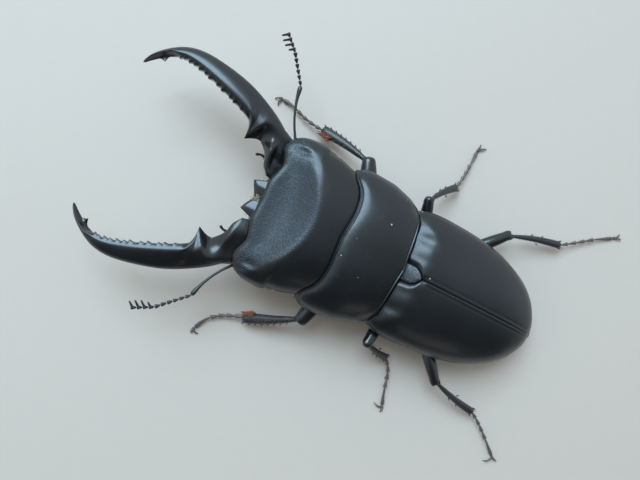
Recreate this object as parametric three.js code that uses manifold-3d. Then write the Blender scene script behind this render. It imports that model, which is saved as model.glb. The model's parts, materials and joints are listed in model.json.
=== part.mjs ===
// A male giant stag beetle at life size, standing with its jaws half open.
// Millimetres, +Z up, head towards -Y, the beetle's left at +X, feet on the plane z = 0.
// The trunk is described in its own frame: x forward to the jaws, y to the left, z up,
// with x = 0 at the rear edge of the pronotum and z = 0 near the side edges of the body.

import * as THREE from 'three';
import { mergeVertices } from 'three/addons/utils/BufferGeometryUtils.js';
import Module from 'manifold-3d';

const wasm = await Module();
wasm.setup();

// ---------------------------------------------------------------- driving dimensions

const GAP = 0.35;              // clear space left where two plates meet
const RIM = 0.5;               // thickness of a plate at its side edge
const TRUNK_HEIGHT = 10;       // height of the trunk's origin above the ground
const TRUNK_TILT = 5;          // degrees that the head end is raised

const HEAD_BACK = 16.35;       // x of the head's rear corners
const HEAD_FRONT = 30.6;       // x of the head's front corners
const HEAD_EDGE = -0.3;
const PRONOTUM_BACK = 0.4;
const PRONOTUM_FRONT = 15.6;
const PRONOTUM_EDGE = -0.6;
const ELYTRA_FRONT = -0.3;
const ELYTRA_END = -34;
const ELYTRA_EDGE = -0.5;
const SUTURE = 0.16;           // half the line between the elytra
const JAW_TURN = 2.3;          // degrees: left jaw outwards, right jaw inwards

const SHELL = { color: 0x14171b, roughness: 0.34, metalness: 0 };
const SHINY_SHELL = { color: 0x101216, roughness: 0.18, metalness: 0 };
const LIMB_SHELL = { color: 0x17161a, roughness: 0.42, metalness: 0 };
const FOOT_SHELL = { color: 0x241a17, roughness: 0.5, metalness: 0 };
const EYE = { color: 0x0b0a0c, roughness: 0.12, metalness: 0 };

// ---------------------------------------------------------------- outlines of the plates

// Margins give x at a distance |y| from the middle line.
const pronotumFront = through([[0, 13.9], [3, 13.65], [5.5, 13.45], [8, 13.6], [10.2, 14.3], [12.6, 15.8],
  [13.7, 15.7], [14.5, 15.2]]);
const pronotumRear = through([[0, -0.4], [3.1, 0], [7, 0.25], [9.8, 0.4], [11.6, 0.9], [12.4, 0.6]]);
const headFront = through([[0, 30.2], [3.2, 30.4], [4.8, 30.1], [7.6, 28.9], [9.2, 29.4], [11.3, 30.4],
  [12, 30.5], [13.3, 30.1]]);

// Half widths give |y| at x.
const headHalf = through([[16.35, 13.2], [18, 13.6], [20.5, 14.2], [22.3, 14.4], [24, 15.1], [25.6, 15],
  [27.2, 14.8], [28.6, 14.3], [29.6, 13.6], [30.3, 12.8], [30.6, 12]]);
const pronotumHalf = through([[0.4, 12.3], [1.6, 13], [3.6, 13.9], [5.2, 14.3], [8.3, 14.9], [12.9, 15],
  [14.6, 14.7], [15.6, 13.9]]);
const elytraHalf = through([[-34, 0.9], [-33.5, 2.6], [-32.6, 4.3], [-30.7, 6.9], [-27.5, 9.4], [-23, 11.5],
  [-19, 12.7], [-15, 13.3], [-11, 13.6], [-6.5, 13.7], [-2.4, 13.4], [-0.3, 12.6]]);

// Crowns give z on the middle line at x, bellies the lowest z.
const headCrown = through([[14, 4.5], [18, 4.8], [21, 4.3], [25, 3], [28, 1.9], [30.6, 1.2]]);
const pronotumCrown = through([[-0.4, 4.9], [3, 5.6], [7, 5.9], [11, 5.5], [14, 4.9], [16, 4.3]]);
const elytraCrown = through([[-34, -0.3], [-33, 0.7], [-31, 1.9], [-28, 3.3], [-24, 4.4], [-18, 5.3],
  [-12, 5.7], [-6, 5.5], [-2, 5.1], [-0.3, 4.7]]);
const elytraEdge = through([[-34, -1], [-30, -0.9], [-24, -0.7], [0, ELYTRA_EDGE]]);
const headBelly = through([[14, -4.8], [20, -4.8], [26, -4.2], [30.6, -3]]);
const prosternumBelly = through([[0, -5], [5, -5.4], [10, -5.3], [14, -4.6]]);
const thoraxBelly = through([[-15, -5.2], [-10, -5.7], [-4, -5.6], [0, -5]]);
const abdomenBelly = through([[-33.4, -1.9], [-31, -2.6], [-26, -3.9], [-20, -4.8], [-15, -5.1]]);

// The scutellum, with half widths at x.
const SCUTELLUM_TIP = -4.5;
const SCUTELLUM_BASE = -0.9;
const scutellumHalf = through([[-4.5, 0.4], [-3.7, 1.35], [-2.6, 2], [-0.9, 2.1]]);

const THORAX_BACK = -14.5;
const ABDOMEN_BACK = -33.2;
const BELLY_INSET = 0.9;       // how far the belly plates lie inside the shell's side edges
const UNDERSIDE = 0.45;        // height of an elytron's hollow underside, as a share of its top
const BELLY_POWER = 1.5;       // how quickly the underside rises to the side edges
const SHIELD_FLOOR = 1.3;      // rise of the pronotum's hollow underside at the middle line

// Stations from the apex to the base, crowded at the apex and beside the scutellum.
const ELYTRA_STATIONS = [-34, -33.6, -32.8, -31.2, -28.8, -25, -20, -15, -10, -6.5,
  SCUTELLUM_TIP - GAP - 0.05, SCUTELLUM_TIP - GAP + 0.05, -3.7, -2.6, ELYTRA_FRONT];

// ---------------------------------------------------------------- head, jaws and feelers

// Places in the trunk's frame on the left side; the right side is its mirror image.
const EYE_CENTRE = [21.4, 13.7, -0.6];
const EYE_RADII = [1.5, 1.1, 1.3];
const ANTENNA_ROOT = [29.5, 14.3, -1.3];
const SOCKET = 0.85;
const MENTUM = { back: 23.5, front: 30, half: 4.6, floor: -5.3, roof: -4 };

const JAW_STATIONS = 13;        // rings along a jaw
const JAW_SIDES = 10;          // points round a ring
const JAW_HINGE = [30.5, 10, 0];
const jawInner = planCurve([[31.4, 4.5], [33.3, 8.3], [35.8, 10.9], [39.3, 13.2], [44.2, 15.3],
  [49.2, 17.1], [53.2, 17.9], [55.9, 16.95], [58, 15.2], [59.2, 13.95]]);
const jawOuter = planCurve([[31.5, 14.2], [33.7, 15.8], [37, 17.6], [41, 19.25], [45.6, 20.3],
  [50.2, 20.75], [54, 19.95], [56.8, 18], [58.6, 16], [59.5, 14.1]]);

// Middle height, rise above it and depth below it along the jaw, from root to tip.
const jawMiddle = through([[0, -0.7], [0.2, -0.74], [0.4, -1.08], [0.6, -1.92], [0.8, -2.71], [1, -3]]);
const jawRise = through([[0, 2.3], [0.3, 2.3], [0.6, 1.7], [0.85, 1.2], [1, 0.3]]);
const jawDepth = through([[0, 2.6], [0.3, 2.3], [0.6, 1.7], [0.85, 1.1], [1, 0.3]]);
const BASAL_TOOTH = { root: [37.1, 13, -0.5], tip: [38.1, 9.1, -0.5], radius: 1.7, sides: 7 };
const TIP_TOOTH = { root: [55.4, 17.7, -2.3], tip: [56.5, 15.6, -2.3], radius: 0.75, sides: 5 };
const DENTICLES = 11;          // small teeth between the basal tooth and the tip tooth

const FEELER_POINTS = {
  left: { elbow: [33.7, 21.9, -0.6], bend: [38.8, 26.7, -0.7], end: [42.6, 28.6, -0.8] },
  right: { elbow: [32.8, -23.1, -0.6], bend: [36.6, -28.3, -0.7], end: [39.4, -31, -0.8] },
};
const FEELER_WIDTH = 0.62;
const ELBOW_WIDTH = 1.05;
const SCAPE_SWAY = 0.45;
const BEADS = 6;               // bead-like segments between the elbow and the club
const LEAVES = 4;              // leaf-like segments of the club
const LEAF_REACH = 1.5;

// ---------------------------------------------------------------- legs

// Hip joints in the trunk's frame: where the coxa lies, its radii and where the femur starts.
const HIPS = {
  fore: { coxa: [8.3, 3.9, -5.3], radii: [1.9, 3, 1.4], start: [8.6, 7.2, -5.6] },
  mid: { coxa: [-4.4, 4.4, -5.6], radii: [1.9, 2.4, 1.3], start: [-4.6, 7.2, -5.7] },
  hind: { coxa: [-12, 4.6, -5.3], radii: [1.7, 3.3, 1.2], start: [-12.6, 8.1, -5.5] },
};

// Widths and depths of the limbs of each pair of legs.
const LIMBS = {
  fore: { femur: [3.5, 2.7], knee: 2.6, tibia: [1.6, 2.6], flat: 1.6, tarsus: 0.85 },
  mid: { femur: [2.8, 2.4], knee: 2.4, tibia: [1.2, 1.8], flat: 1.3, tarsus: 0.8 },
  hind: { femur: [2.8, 2.4], knee: 2.3, tibia: [1.2, 1.8], flat: 1.2, tarsus: 0.8 },
};

const FOOT_SEGMENTS = 4;       // short segments before the long last one
const LAST_SEGMENT = 0.62;     // where the last segment starts along the foot
const TOE_HEIGHT = 0.34;       // low enough that the ground cuts a flat under each toe
const CLAW_TIP_HEIGHT = 0.02;

// The stance, as places over the ground: knee, ankle, foot joints and claw tips.
const STANCE = {
  fore_right: { knee: [-17.3, -13.6, 6.4], ankle: [-19.8, -25.1, 2.1],
    foot: [[-20.6, -29.7, 1.3], [-21.9, -33.5, 0.8], [-22.1, -35.2, TOE_HEIGHT]],
    claws: [[-20.4, -35.7], [-21.5, -37]] },
  fore_left: { knee: [17.6, -11.9, 6.8], ankle: [23.1, -22.7, 2.1],
    foot: [[24.8, -26.8, 1.3], [27.6, -29.8, 0.8], [29.5, -30.6, TOE_HEIGHT]],
    claws: [[30.4, -29.4], [30.9, -30.9]] },
  mid_right: { knee: [-15.7, 1, 7.8], ankle: [-22.3, 6.9, 2.1],
    foot: [[-25.6, 7.5, 1.4], [-29, 7.8, 1], [-31.9, 8.1, TOE_HEIGHT]],
    claws: [[-34, 8.2], [-33.5, 10]] },
  mid_left: { knee: [16.1, 2, 8.8], ankle: [17.8, 9.1, 2.2],
    foot: [[20.4, 11, 1.4], [24, 12.1, 1], [27.8, 13.5, TOE_HEIGHT]],
    claws: [[28, 11.6], [29.3, 13.6]] },
  hind_right: { knee: [-17.4, 20.8, 4.9], ankle: [-21.6, 34.3, 2.1],
    foot: [[-23.9, 37.7, 1.4], [-26.8, 41.9, 1], [-29.2, 46.1, TOE_HEIGHT]],
    claws: [[-29.7, 48.3], [-30.9, 47.3]] },
  hind_left: { knee: [17.5, 19.7, 5.6], ankle: [20.5, 32.2, 2.1],
    foot: [[22.3, 35, 1.4], [25, 38.4, 1], [27.7, 41.6, TOE_HEIGHT]],
    claws: [[29.7, 40.3], [28.4, 43.4]] },
};

// ---------------------------------------------------------------- small helpers

const vec = (point) => new THREE.Vector3(...point);
const turns = THREE.MathUtils.degToRad;
const lerp = THREE.MathUtils.lerp;

// A smooth function of one value through [at, value] pairs, without overshoot.
function through(pairs) {
  const slopes = pairs.slice(1).map((pair, i) => (pair[1] - pairs[i][1]) / (pair[0] - pairs[i][0]));
  const tangents = pairs.map((_, i) => {
    const before = slopes[Math.max(i - 1, 0)];
    const after = slopes[Math.min(i, slopes.length - 1)];
    return before * after > 0 ? (2 * before * after) / (before + after) : 0;
  });
  return (at) => {
    const last = pairs.length - 2;
    let i = pairs.findIndex((pair) => pair[0] > at) - 1;
    if (i < 0) i = at < pairs[0][0] ? 0 : last;
    const span = pairs[i + 1][0] - pairs[i][0];
    const t = THREE.MathUtils.clamp((at - pairs[i][0]) / span, 0, 1);
    const held = pairs[i][1] * (1 + 2 * t) * (1 - t) ** 2 + pairs[i + 1][1] * t * t * (3 - 2 * t);
    return held + span * (tangents[i] * t * (1 - t) ** 2 - tangents[i + 1] * t * t * (1 - t));
  };
}

// A smooth curve over [x, y] points seen from above.
function planCurve(points) {
  return new THREE.SplineCurve(points.map((point) => new THREE.Vector2(...point)));
}

// The faces of a closed mesh turned outwards.
function outward(geometry) {
  const at = geometry.attributes.position;
  const index = geometry.index.array;
  const corners = [0, 1, 2].map(() => new THREE.Vector3());
  let volume = 0;
  for (let i = 0; i < index.length; i += 3) {
    corners.forEach((corner, k) => corner.fromBufferAttribute(at, index[i + k]));
    volume += corners[0].dot(corners[1].cross(corners[2]));
  }
  if (volume < 0) index.reverse();
  return geometry;
}

// A closed mesh from rings of equal, even length, each end closed by strips across it.
function loft(rings) {
  const size = rings[0].length;
  const faces = [];
  const quad = (a, b, c, d) => faces.push(a, b, c, a, c, d);
  for (let r = 0; r < rings.length - 1; r += 1) {
    for (let k = 0; k < size; k += 1) {
      const next = (k + 1) % size;
      quad(r * size + k, r * size + next, (r + 1) * size + next, (r + 1) * size + k);
    }
  }
  const end = (rings.length - 1) * size;
  for (let k = 0; k < size / 2 - 1; k += 1) {
    quad(size - 1 - k, size - 2 - k, k + 1, k);
    quad(end + k, end + k + 1, end + size - 2 - k, end + size - 1 - k);
  }
  const geometry = new THREE.BufferGeometry().setFromPoints(rings.flat());
  geometry.setIndex(faces);
  return outward(geometry);
}

// A body plate between two margins. side(u, v) gives y, rear(|y|) and front(|y|) give x,
// and top and bottom give z.
function plate({ side, rear, front, top, bottom, across, along }) {
  const rings = along.map((v) => {
    const points = across.map((u) => {
      const y = side(u, v);
      return [lerp(rear(Math.abs(y)), front(Math.abs(y)), v), y, u];
    });
    const upper = points.map(([x, y, u]) => new THREE.Vector3(x, y, top(x, u)));
    const lower = points.map(([x, y, u]) => new THREE.Vector3(x, y, bottom(x, u)));
    return [...upper, ...lower.reverse()];
  });
  return loft(rings);
}

// Evenly spread values from 0 to 1, and values across a body crowded towards the sides.
const evenly = (count) => Array.from({ length: count + 1 }, (_, i) => i / count);
const crowded = (count) => evenly(count).map((t) => Math.sin((t * 2 - 1) * Math.PI / 2));

// A limb along a path: an oval of the given width and depth at each point.
function limb(path, widths, depths, up, sides) {
  const rings = path.map((point, i) => {
    const before = path[Math.max(i - 1, 0)];
    const after = path[Math.min(i + 1, path.length - 1)];
    const along = after.clone().sub(before).normalize();
    const sideways = up.clone().cross(along).normalize();
    const upright = along.clone().cross(sideways);
    return Array.from({ length: sides }, (_, k) => {
      const angle = (2 * Math.PI * (k + 0.5)) / sides;
      const right = sideways.clone().multiplyScalar(Math.cos(angle) * widths[i] / 2);
      return point.clone().add(right).addScaledVector(upright, Math.sin(angle) * depths[i] / 2);
    });
  });
  return loft(rings);
}

const midpoint = (start, end, t) => start.clone().lerp(end, t);

function ellipsoid(centre, radii, columns, rows) {
  const ball = new THREE.SphereGeometry(1, columns, rows);
  return ball.rotateX(Math.PI / 2).scale(...radii).translate(...centre);
}

// A pointed tooth or spine from its root to its tip.
function spike(root, tip, radius, sides = 5) {
  const axis = tip.clone().sub(root);
  const cone = new THREE.ConeGeometry(radius, axis.length(), sides);
  cone.translate(0, axis.length() / 2, 0);
  cone.applyQuaternion(new THREE.Quaternion().setFromUnitVectors(vec([0, 1, 0]), axis.normalize()));
  return cone.translate(root.x, root.y, root.z);
}

function mirrored(geometry) {
  return outward(geometry.clone().scale(1, -1, 1));
}

function solid(geometry) {
  const bare = geometry.clone();
  bare.deleteAttribute('normal');
  bare.deleteAttribute('uv');
  const merged = mergeVertices(bare, 1e-4);
  const vertProperties = new Float32Array(merged.attributes.position.array);
  const triVerts = new Uint32Array(merged.index.array);
  return new wasm.Manifold(new wasm.Mesh({ numProp: 3, vertProperties, triVerts }));
}

function geometryOf(manifold) {
  const mesh = manifold.getMesh();
  const geometry = new THREE.BufferGeometry();
  geometry.setAttribute('position', new THREE.BufferAttribute(mesh.vertProperties, 3));
  geometry.setIndex([...mesh.triVerts]);
  return geometry;
}

function join(base, ...others) {
  return geometryOf(others.reduce((sum, other) => sum.add(solid(other)), solid(base)));
}

function carve(base, ...cutters) {
  return geometryOf(cutters.reduce((rest, cutter) => rest.subtract(solid(cutter)), solid(base)));
}

// ---------------------------------------------------------------- scene

const beetle = new THREE.Group();
const trunk = new THREE.Group();
trunk.rotation.set(0, -turns(TRUNK_TILT), -Math.PI / 2, 'ZYX');
trunk.position.z = TRUNK_HEIGHT;
beetle.add(trunk);
trunk.updateMatrixWorld(true);

function addPart(parent, name, geometry, look) {
  geometry.computeVertexNormals();
  const mesh = new THREE.Mesh(geometry, new THREE.MeshStandardMaterial(look));
  mesh.name = name;
  parent.add(mesh);
}

const addTrunkPart = (name, geometry, look) => addPart(trunk, name, geometry, look);

function addTrunkPair(name, leftGeometry, look) {
  addTrunkPart(`${name}_left`, leftGeometry, look);
  addTrunkPart(`${name}_right`, mirrored(leftGeometry), look);
}

const dome = (u, power) => Math.sqrt(Math.max(1 - Math.abs(u) ** power, 0));

// ---------------------------------------------------------------- head

const headAt = (v) => lerp(HEAD_BACK, HEAD_FRONT, v);
const grown = (radii, by) => radii.map((radius) => radius + by);
const onRight = (point) => [point[0], -point[1], point[2]];

function headGeometry() {
  const whole = plate({
    side: (u, v) => u * headHalf(headAt(v)),
    rear: (y) => pronotumFront(y) + GAP,
    front: headFront,
    top: (x, u) => lerp(HEAD_EDGE + RIM / 2, headCrown(x), dome(u, 3)),
    bottom: (x, u) => lerp(HEAD_EDGE - RIM / 2, headBelly(x), dome(u, 2.6)),
    across: crowded(12),
    along: [0, 0.16, 0.34, 0.54, 0.76, 0.9, 0.96, 1],
  });
  const eyeSocket = (centre) => ellipsoid(centre, grown(EYE_RADII, GAP), 8, 6);
  const feelerSocket = (centre) => ellipsoid(centre, [SOCKET, SOCKET, SOCKET], 6, 4);
  return carve(whole, eyeSocket(EYE_CENTRE), eyeSocket(onRight(EYE_CENTRE)),
    feelerSocket(ANTENNA_ROOT), feelerSocket(onRight(ANTENNA_ROOT)), mentumSeat());
}

// The chin plate under the head, and the shallow seat that it lies in.

function mentumBlock(grow) {
  const { back, front, half, floor, roof } = MENTUM;
  const outline = new THREE.Shape();
  outline.moveTo(back - grow, -half - grow);
  outline.lineTo(front + grow, 0.8 - half - grow);
  outline.lineTo(front + grow, half - 0.8 + grow);
  outline.lineTo(back - grow, half + grow);
  outline.closePath();
  const block = new THREE.ExtrudeGeometry(outline, { depth: roof - floor + grow, bevelEnabled: false });
  return block.translate(0, 0, floor);
}

const mentumSeat = () => mentumBlock(GAP);

// The clypeus ends in two teeth, one each side of a notch.
function clypeusGeometry() {
  const outline = new THREE.Shape();
  outline.moveTo(30.4 + GAP, -3.7);
  outline.lineTo(32.6, -3.15);
  outline.lineTo(31.6, -1.4);
  outline.quadraticCurveTo(30.9, 0, 31.6, 1.4);
  outline.lineTo(32.6, 3.15);
  outline.lineTo(30.4 + GAP, 3.7);
  outline.quadraticCurveTo(30.2 + GAP, 0, 30.4 + GAP, -3.7);
  const bevel = { bevelThickness: 0.25, bevelSize: 0.12, bevelOffset: -0.12, bevelSegments: 1 };
  const block = new THREE.ExtrudeGeometry(outline, { depth: 1.1, curveSegments: 4, ...bevel });
  return block.translate(0, 0, -1.6);
}

// ---------------------------------------------------------------- jaws

// One ring of the jaw: an oval flattened towards its outer side, with a ridge near the inner third.
function jawRing(inner, outer, t, along) {
  return Array.from({ length: JAW_SIDES }, (_, k) => {
    const angle = (2 * Math.PI * (k + 0.5)) / JAW_SIDES;
    const share = 0.5 - 0.5 * Math.cos(angle);
    const y = lerp(inner.y, outer.y, share);
    const x = along ? along(y) : lerp(inner.x, outer.x, share);
    const swell = Math.sin(angle);
    const z = swell > 0 ? jawRise(t) * swell * (1.2 - 0.4 * share) : jawDepth(t) * swell;
    return new THREE.Vector3(x, y, jawMiddle(t) + z);
  });
}

// One of the small teeth along the inner edge, pointing inwards and a little forward.
function denticle(t) {
  const at = lerp(0.37, 0.68, t);
  const edge = jawInner.getPoint(at);
  const forward = jawInner.getTangent(at);
  const reach = 0.35 + 0.2 * Math.sin(t * Math.PI);
  const height = jawMiddle(at);
  const root = new THREE.Vector3(edge.x - forward.y * 0.6, edge.y + forward.x * 0.6, height);
  const tip = new THREE.Vector3(edge.x + forward.y * reach + 0.25, edge.y - forward.x * reach, height);
  return spike(root, tip, 0.6);
}

function jawGeometry() {
  const root = jawRing({ y: 4.3 }, { y: 13.3 }, 0, (y) => headFront(y) + GAP + 0.15);
  const rings = evenly(JAW_STATIONS).map((t) => jawRing(jawInner.getPoint(t), jawOuter.getPoint(t), t));
  const teeth = [BASAL_TOOTH, TIP_TOOTH].map((tooth) => {
    return spike(vec(tooth.root), vec(tooth.tip), tooth.radius, tooth.sides);
  });
  return join(loft([root, ...rings]), ...teeth, ...evenly(DENTICLES - 1).map(denticle));
}

function turnedJaw(degrees) {
  const [x, y, z] = JAW_HINGE;
  return jawGeometry().translate(-x, -y, -z).rotateZ(turns(degrees)).translate(x, y, z);
}

// ---------------------------------------------------------------- feelers and palps

const UPRIGHT = vec([0, 0, 1]);

function scapeGeometry(start, elbow, sway) {
  const sidestep = elbow.clone().sub(start).cross(UPRIGHT).normalize();
  const path = [0, 0.25, 0.55, 0.8, 0.93, 1].map((t) => {
    return midpoint(start, elbow, t).addScaledVector(sidestep, sway * Math.sin(t * Math.PI));
  });
  const widths = [0.7, FEELER_WIDTH, FEELER_WIDTH, 0.75, ELBOW_WIDTH, 0.7];
  return limb(path, widths, widths, UPRIGHT, 6);
}

function funicleGeometry(start, end) {
  const stops = evenly(BEADS * 2);
  const path = stops.map((t) => midpoint(start, end, t));
  const widths = stops.map((_, i) => (i % 2 ? 0.86 : 0.52));
  return limb(path, widths, widths, UPRIGHT, 6);
}

// The club: a stem with leaves on its front side, each set a little further out.
function clubGeometry(start, end, leafward) {
  const stem = limb([0, 0.3, 0.75, 1].map((t) => midpoint(start, end, t)), [0.6, 0.85, 0.9, 0.6],
    [0.6, 0.8, 0.85, 0.6], UPRIGHT, 6);
  const leaves = evenly(LEAVES - 1).map((t) => {
    const foot = midpoint(start, end, lerp(0.26, 0.9, t));
    const reach = LEAF_REACH * lerp(0.65, 1, Math.sin(t * Math.PI * 0.6));
    const tip = foot.clone().addScaledVector(leafward, reach);
    const middle = midpoint(foot, tip, 0.6);
    return limb([foot, middle, tip], [0.6, 0.7, 0.5], [0.7, 1.1, 0.7], UPRIGHT, 4);
  });
  return join(stem, ...leaves);
}

function addFeeler(side) {
  const sign = side === 'left' ? 1 : -1;
  const root = vec([ANTENNA_ROOT[0], ANTENNA_ROOT[1] * sign, ANTENNA_ROOT[2]]);
  const points = FEELER_POINTS[side];
  const elbow = vec(points.elbow);
  const bend = vec(points.bend);
  const end = vec(points.end);
  const after = (from, to) => midpoint(from, to, GAP / from.distanceTo(to));
  const leafward = vec([0.75, -0.66 * sign, 0]);
  addTrunkPart(`antenna_scape_${side}`, scapeGeometry(root, elbow, SCAPE_SWAY * sign), LIMB_SHELL);
  addTrunkPart(`antenna_funicle_${side}`, funicleGeometry(after(elbow, bend), bend), LIMB_SHELL);
  addTrunkPart(`antenna_club_${side}`, clubGeometry(after(bend, end), end, leafward), LIMB_SHELL);
}

// A jaw palp, seen inside the root of the jaw.
function palpGeometry() {
  const path = [[30.9, 5.4, -4.4], [31.9, 7.3, -4.7], [32.8, 8.2, -4.5], [33.6, 8.3, -4.1],
    [34.6, 7.8, -3.5]];
  const widths = [0.7, 0.9, 0.7, 0.9, 0.5];
  return limb(path.map(vec), widths, widths, UPRIGHT, 6);
}

// ---------------------------------------------------------------- plates of the body

const pronotumAt = (v) => lerp(PRONOTUM_BACK, PRONOTUM_FRONT, v);

const shieldFloor = (x, u) => PRONOTUM_EDGE - RIM / 2 + SHIELD_FLOOR * (1 - u * u);

function pronotumGeometry() {
  return plate({
    side: (u, v) => u * pronotumHalf(pronotumAt(v)),
    rear: pronotumRear,
    front: pronotumFront,
    top: (x, u) => lerp(PRONOTUM_EDGE + RIM / 2, pronotumCrown(x), dome(u, 2.8)),
    bottom: shieldFloor,
    across: crowded(12),
    along: [0, 0.05, 0.2, 0.4, 0.6, 0.8, 0.95, 1],
  });
}

const bellyShare = (u) => 1 - Math.abs(u) ** BELLY_POWER;

function prosternumGeometry() {
  return plate({
    side: (u, v) => u * (pronotumHalf(pronotumAt(v)) - BELLY_INSET),
    rear: (y) => pronotumRear(y) + 0.2,
    front: (y) => pronotumFront(y) - 0.2,
    top: (x, u) => shieldFloor(x, u) - GAP,
    bottom: (x, u) => lerp(shieldFloor(x, 1) - GAP - 0.6, prosternumBelly(x), bellyShare(u)),
    across: crowded(8),
    along: [0, 0.2, 0.5, 0.8, 1],
  });
}

const elytraInner = (x) => (x < SCUTELLUM_TIP - GAP ? SUTURE : scutellumHalf(x) + GAP);
const elytraTop = (x, t) => lerp(elytraEdge(x) + RIM / 2, elytraCrown(x), dome(t, 2.5));
const elytraUnder = (x, t) => lerp(elytraEdge(x) - RIM / 2, elytraCrown(x) * UNDERSIDE, dome(t, 2.5));

function elytronGeometry() {
  const share = (x) => (x - ELYTRA_END) / (ELYTRA_FRONT - ELYTRA_END);
  return loft(ELYTRA_STATIONS.map((station) => {
    const half = elytraHalf(station);
    const shares = evenly(7).map((t) => lerp(elytraInner(station) / half, 1, Math.sin(t * Math.PI / 2)));
    const place = (t, height) => {
      const x = lerp(ELYTRA_END, pronotumRear(t * half) - GAP - 0.1, share(station));
      return new THREE.Vector3(x, t * half, height(x, t));
    };
    const upper = shares.map((t) => place(t, elytraTop));
    const lower = shares.map((t) => place(t, elytraUnder));
    return [...upper, ...lower.reverse()];
  }));
}

function scutellumGeometry() {
  return plate({
    side: (u, v) => u * scutellumHalf(lerp(SCUTELLUM_TIP, SCUTELLUM_BASE, v)),
    rear: () => SCUTELLUM_TIP,
    front: () => SCUTELLUM_BASE,
    top: (x, u) => elytraCrown(x) + 0.05 - 0.3 * u * u,
    bottom: (x) => elytraCrown(x) * UNDERSIDE + 0.4,
    across: crowded(4),
    along: [0, 0.25, 0.55, 1],
  });
}

const bodyHalf = (x) => elytraHalf(Math.min(x, ELYTRA_FRONT)) - BELLY_INSET;
const underTop = (x, u) => elytraUnder(x, u) - GAP;
const bellyOf = (belly) => (x, u) => lerp(underTop(x, 1) - 0.5, belly(x), bellyShare(u));

function thoraxGeometry() {
  return plate({
    side: (u, v) => u * bodyHalf(lerp(THORAX_BACK, -1, v)),
    rear: () => THORAX_BACK,
    front: (y) => pronotumRear(y) - GAP - 0.3,
    top: underTop,
    bottom: bellyOf(thoraxBelly),
    across: crowded(8),
    along: [0, 0.2, 0.5, 0.8, 1],
  });
}

// Five belly plates, each ending in a shallow step.
function abdomenGeometry() {
  const front = THORAX_BACK - GAP;
  const joints = [0.2, 0.4, 0.6, 0.8];
  const step = 0.012;
  const stations = [0, 0.05, ...joints.flatMap((joint) => [joint - step, joint + step]), 1];
  const groove = (x) => {
    const v = (x - ABDOMEN_BACK) / (front - ABDOMEN_BACK);
    return joints.some((joint) => Math.abs(v - joint - step) < step / 2) ? 0.25 : 0;
  };
  return plate({
    side: (u, v) => u * Math.max(bodyHalf(lerp(ABDOMEN_BACK, front, v)), 0.5),
    rear: () => ABDOMEN_BACK,
    front: () => front,
    top: underTop,
    bottom: (x, u) => bellyOf(abdomenBelly)(x, u) + groove(x) * bellyShare(u),
    across: crowded(8),
    along: stations,
  });
}

// ---------------------------------------------------------------- legs

function femurGeometry(start, knee, size, grow = 0) {
  const stops = [0, 0.07, 0.17, 0.3, 0.5, 0.75, 0.92, 1];
  const widths = [0.5, 0.74, 0.62, 0.86, 1, 0.92, 0.72, 0.36];
  const end = knee.clone().add(knee.clone().sub(start).setLength(size.knee / 2));
  const arch = (t) => 0.4 * Math.sin(t * Math.PI);
  const path = stops.map((t) => midpoint(start, end, t).addScaledVector(UPRIGHT, arch(t)));
  const scaled = (full) => widths.map((share) => share * full + 2 * grow);
  return limb(path, scaled(size.femur[0]), scaled(size.femur[1]), UPRIGHT, 8);
}

// The tibia widens to its end, which carries spurs; the outer edge carries spines.
function tibiaGeometry(knee, ankle, size, pair, outside) {
  const along = ankle.clone().sub(knee).normalize();
  const start = knee.clone().addScaledVector(along, size.knee / 2 + GAP);
  const stops = [0, 0.08, 0.35, 0.7, 0.92, 1];
  const shares = [0, 0.1, 0.3, 0.65, 1, 0.9];
  const widths = shares.map((share) => lerp(size.tibia[0], size.tibia[1], share));
  const depths = shares.map((share) => lerp(size.tibia[0], size.flat, share));
  widths[0] *= 0.8;
  const at = (t) => midpoint(start, ankle, t);
  const spines = pair === 'fore' ? [0.22, 0.36, 0.5, 0.64, 0.78] : [0.55];
  const edge = (t) => at(t).addScaledVector(outside, lerp(size.tibia[0], size.tibia[1], t) * 0.4);
  const spineSet = spines.map((t) => {
    const tip = edge(t).addScaledVector(outside, 0.75).addScaledVector(along, 0.55);
    return spike(edge(t).addScaledVector(along, -0.2), tip, 0.4);
  });
  const inside = outside.clone().negate();
  const spurs = [[outside, 0.55, 0.55], [inside, 0.5, 0.6]].map(([way, out, on]) => {
    const root = at(0.93).addScaledVector(way, size.tibia[1] * 0.25);
    const tip = at(1).addScaledVector(way, size.tibia[1] * 0.3 + out).addScaledVector(along, on);
    return spike(root, tip, 0.42);
  });
  return join(limb(stops.map(at), widths, depths, UPRIGHT, 8), ...spineSet, ...spurs);
}

function floorBlock() {
  return new THREE.BoxGeometry(200, 200, 10).translate(0, 0, -5);
}

// The foot: four short swollen segments, then a long one that ends flat on the ground.
function tarsusGeometry(ankle, joints, size) {
  const line = new THREE.CatmullRomCurve3([ankle, ...joints]);
  const begin = 0.06;
  const stops = [];
  const widths = [];
  for (let i = 0; i < FOOT_SEGMENTS; i += 1) {
    const from = lerp(begin, LAST_SEGMENT, i / FOOT_SEGMENTS);
    const to = lerp(begin, LAST_SEGMENT, (i + 0.72) / FOOT_SEGMENTS);
    stops.push(from, to);
    widths.push(0.62, 1.1);
  }
  stops.push(LAST_SEGMENT, 0.8, 0.93, 1);
  widths.push(0.62, 0.78, 1.25, 0.95);
  const sized = widths.map((share) => share * size.tarsus);
  return carve(limb(stops.map((t) => line.getPointAt(t)), sized, sized, UPRIGHT, 6), floorBlock());
}

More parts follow.
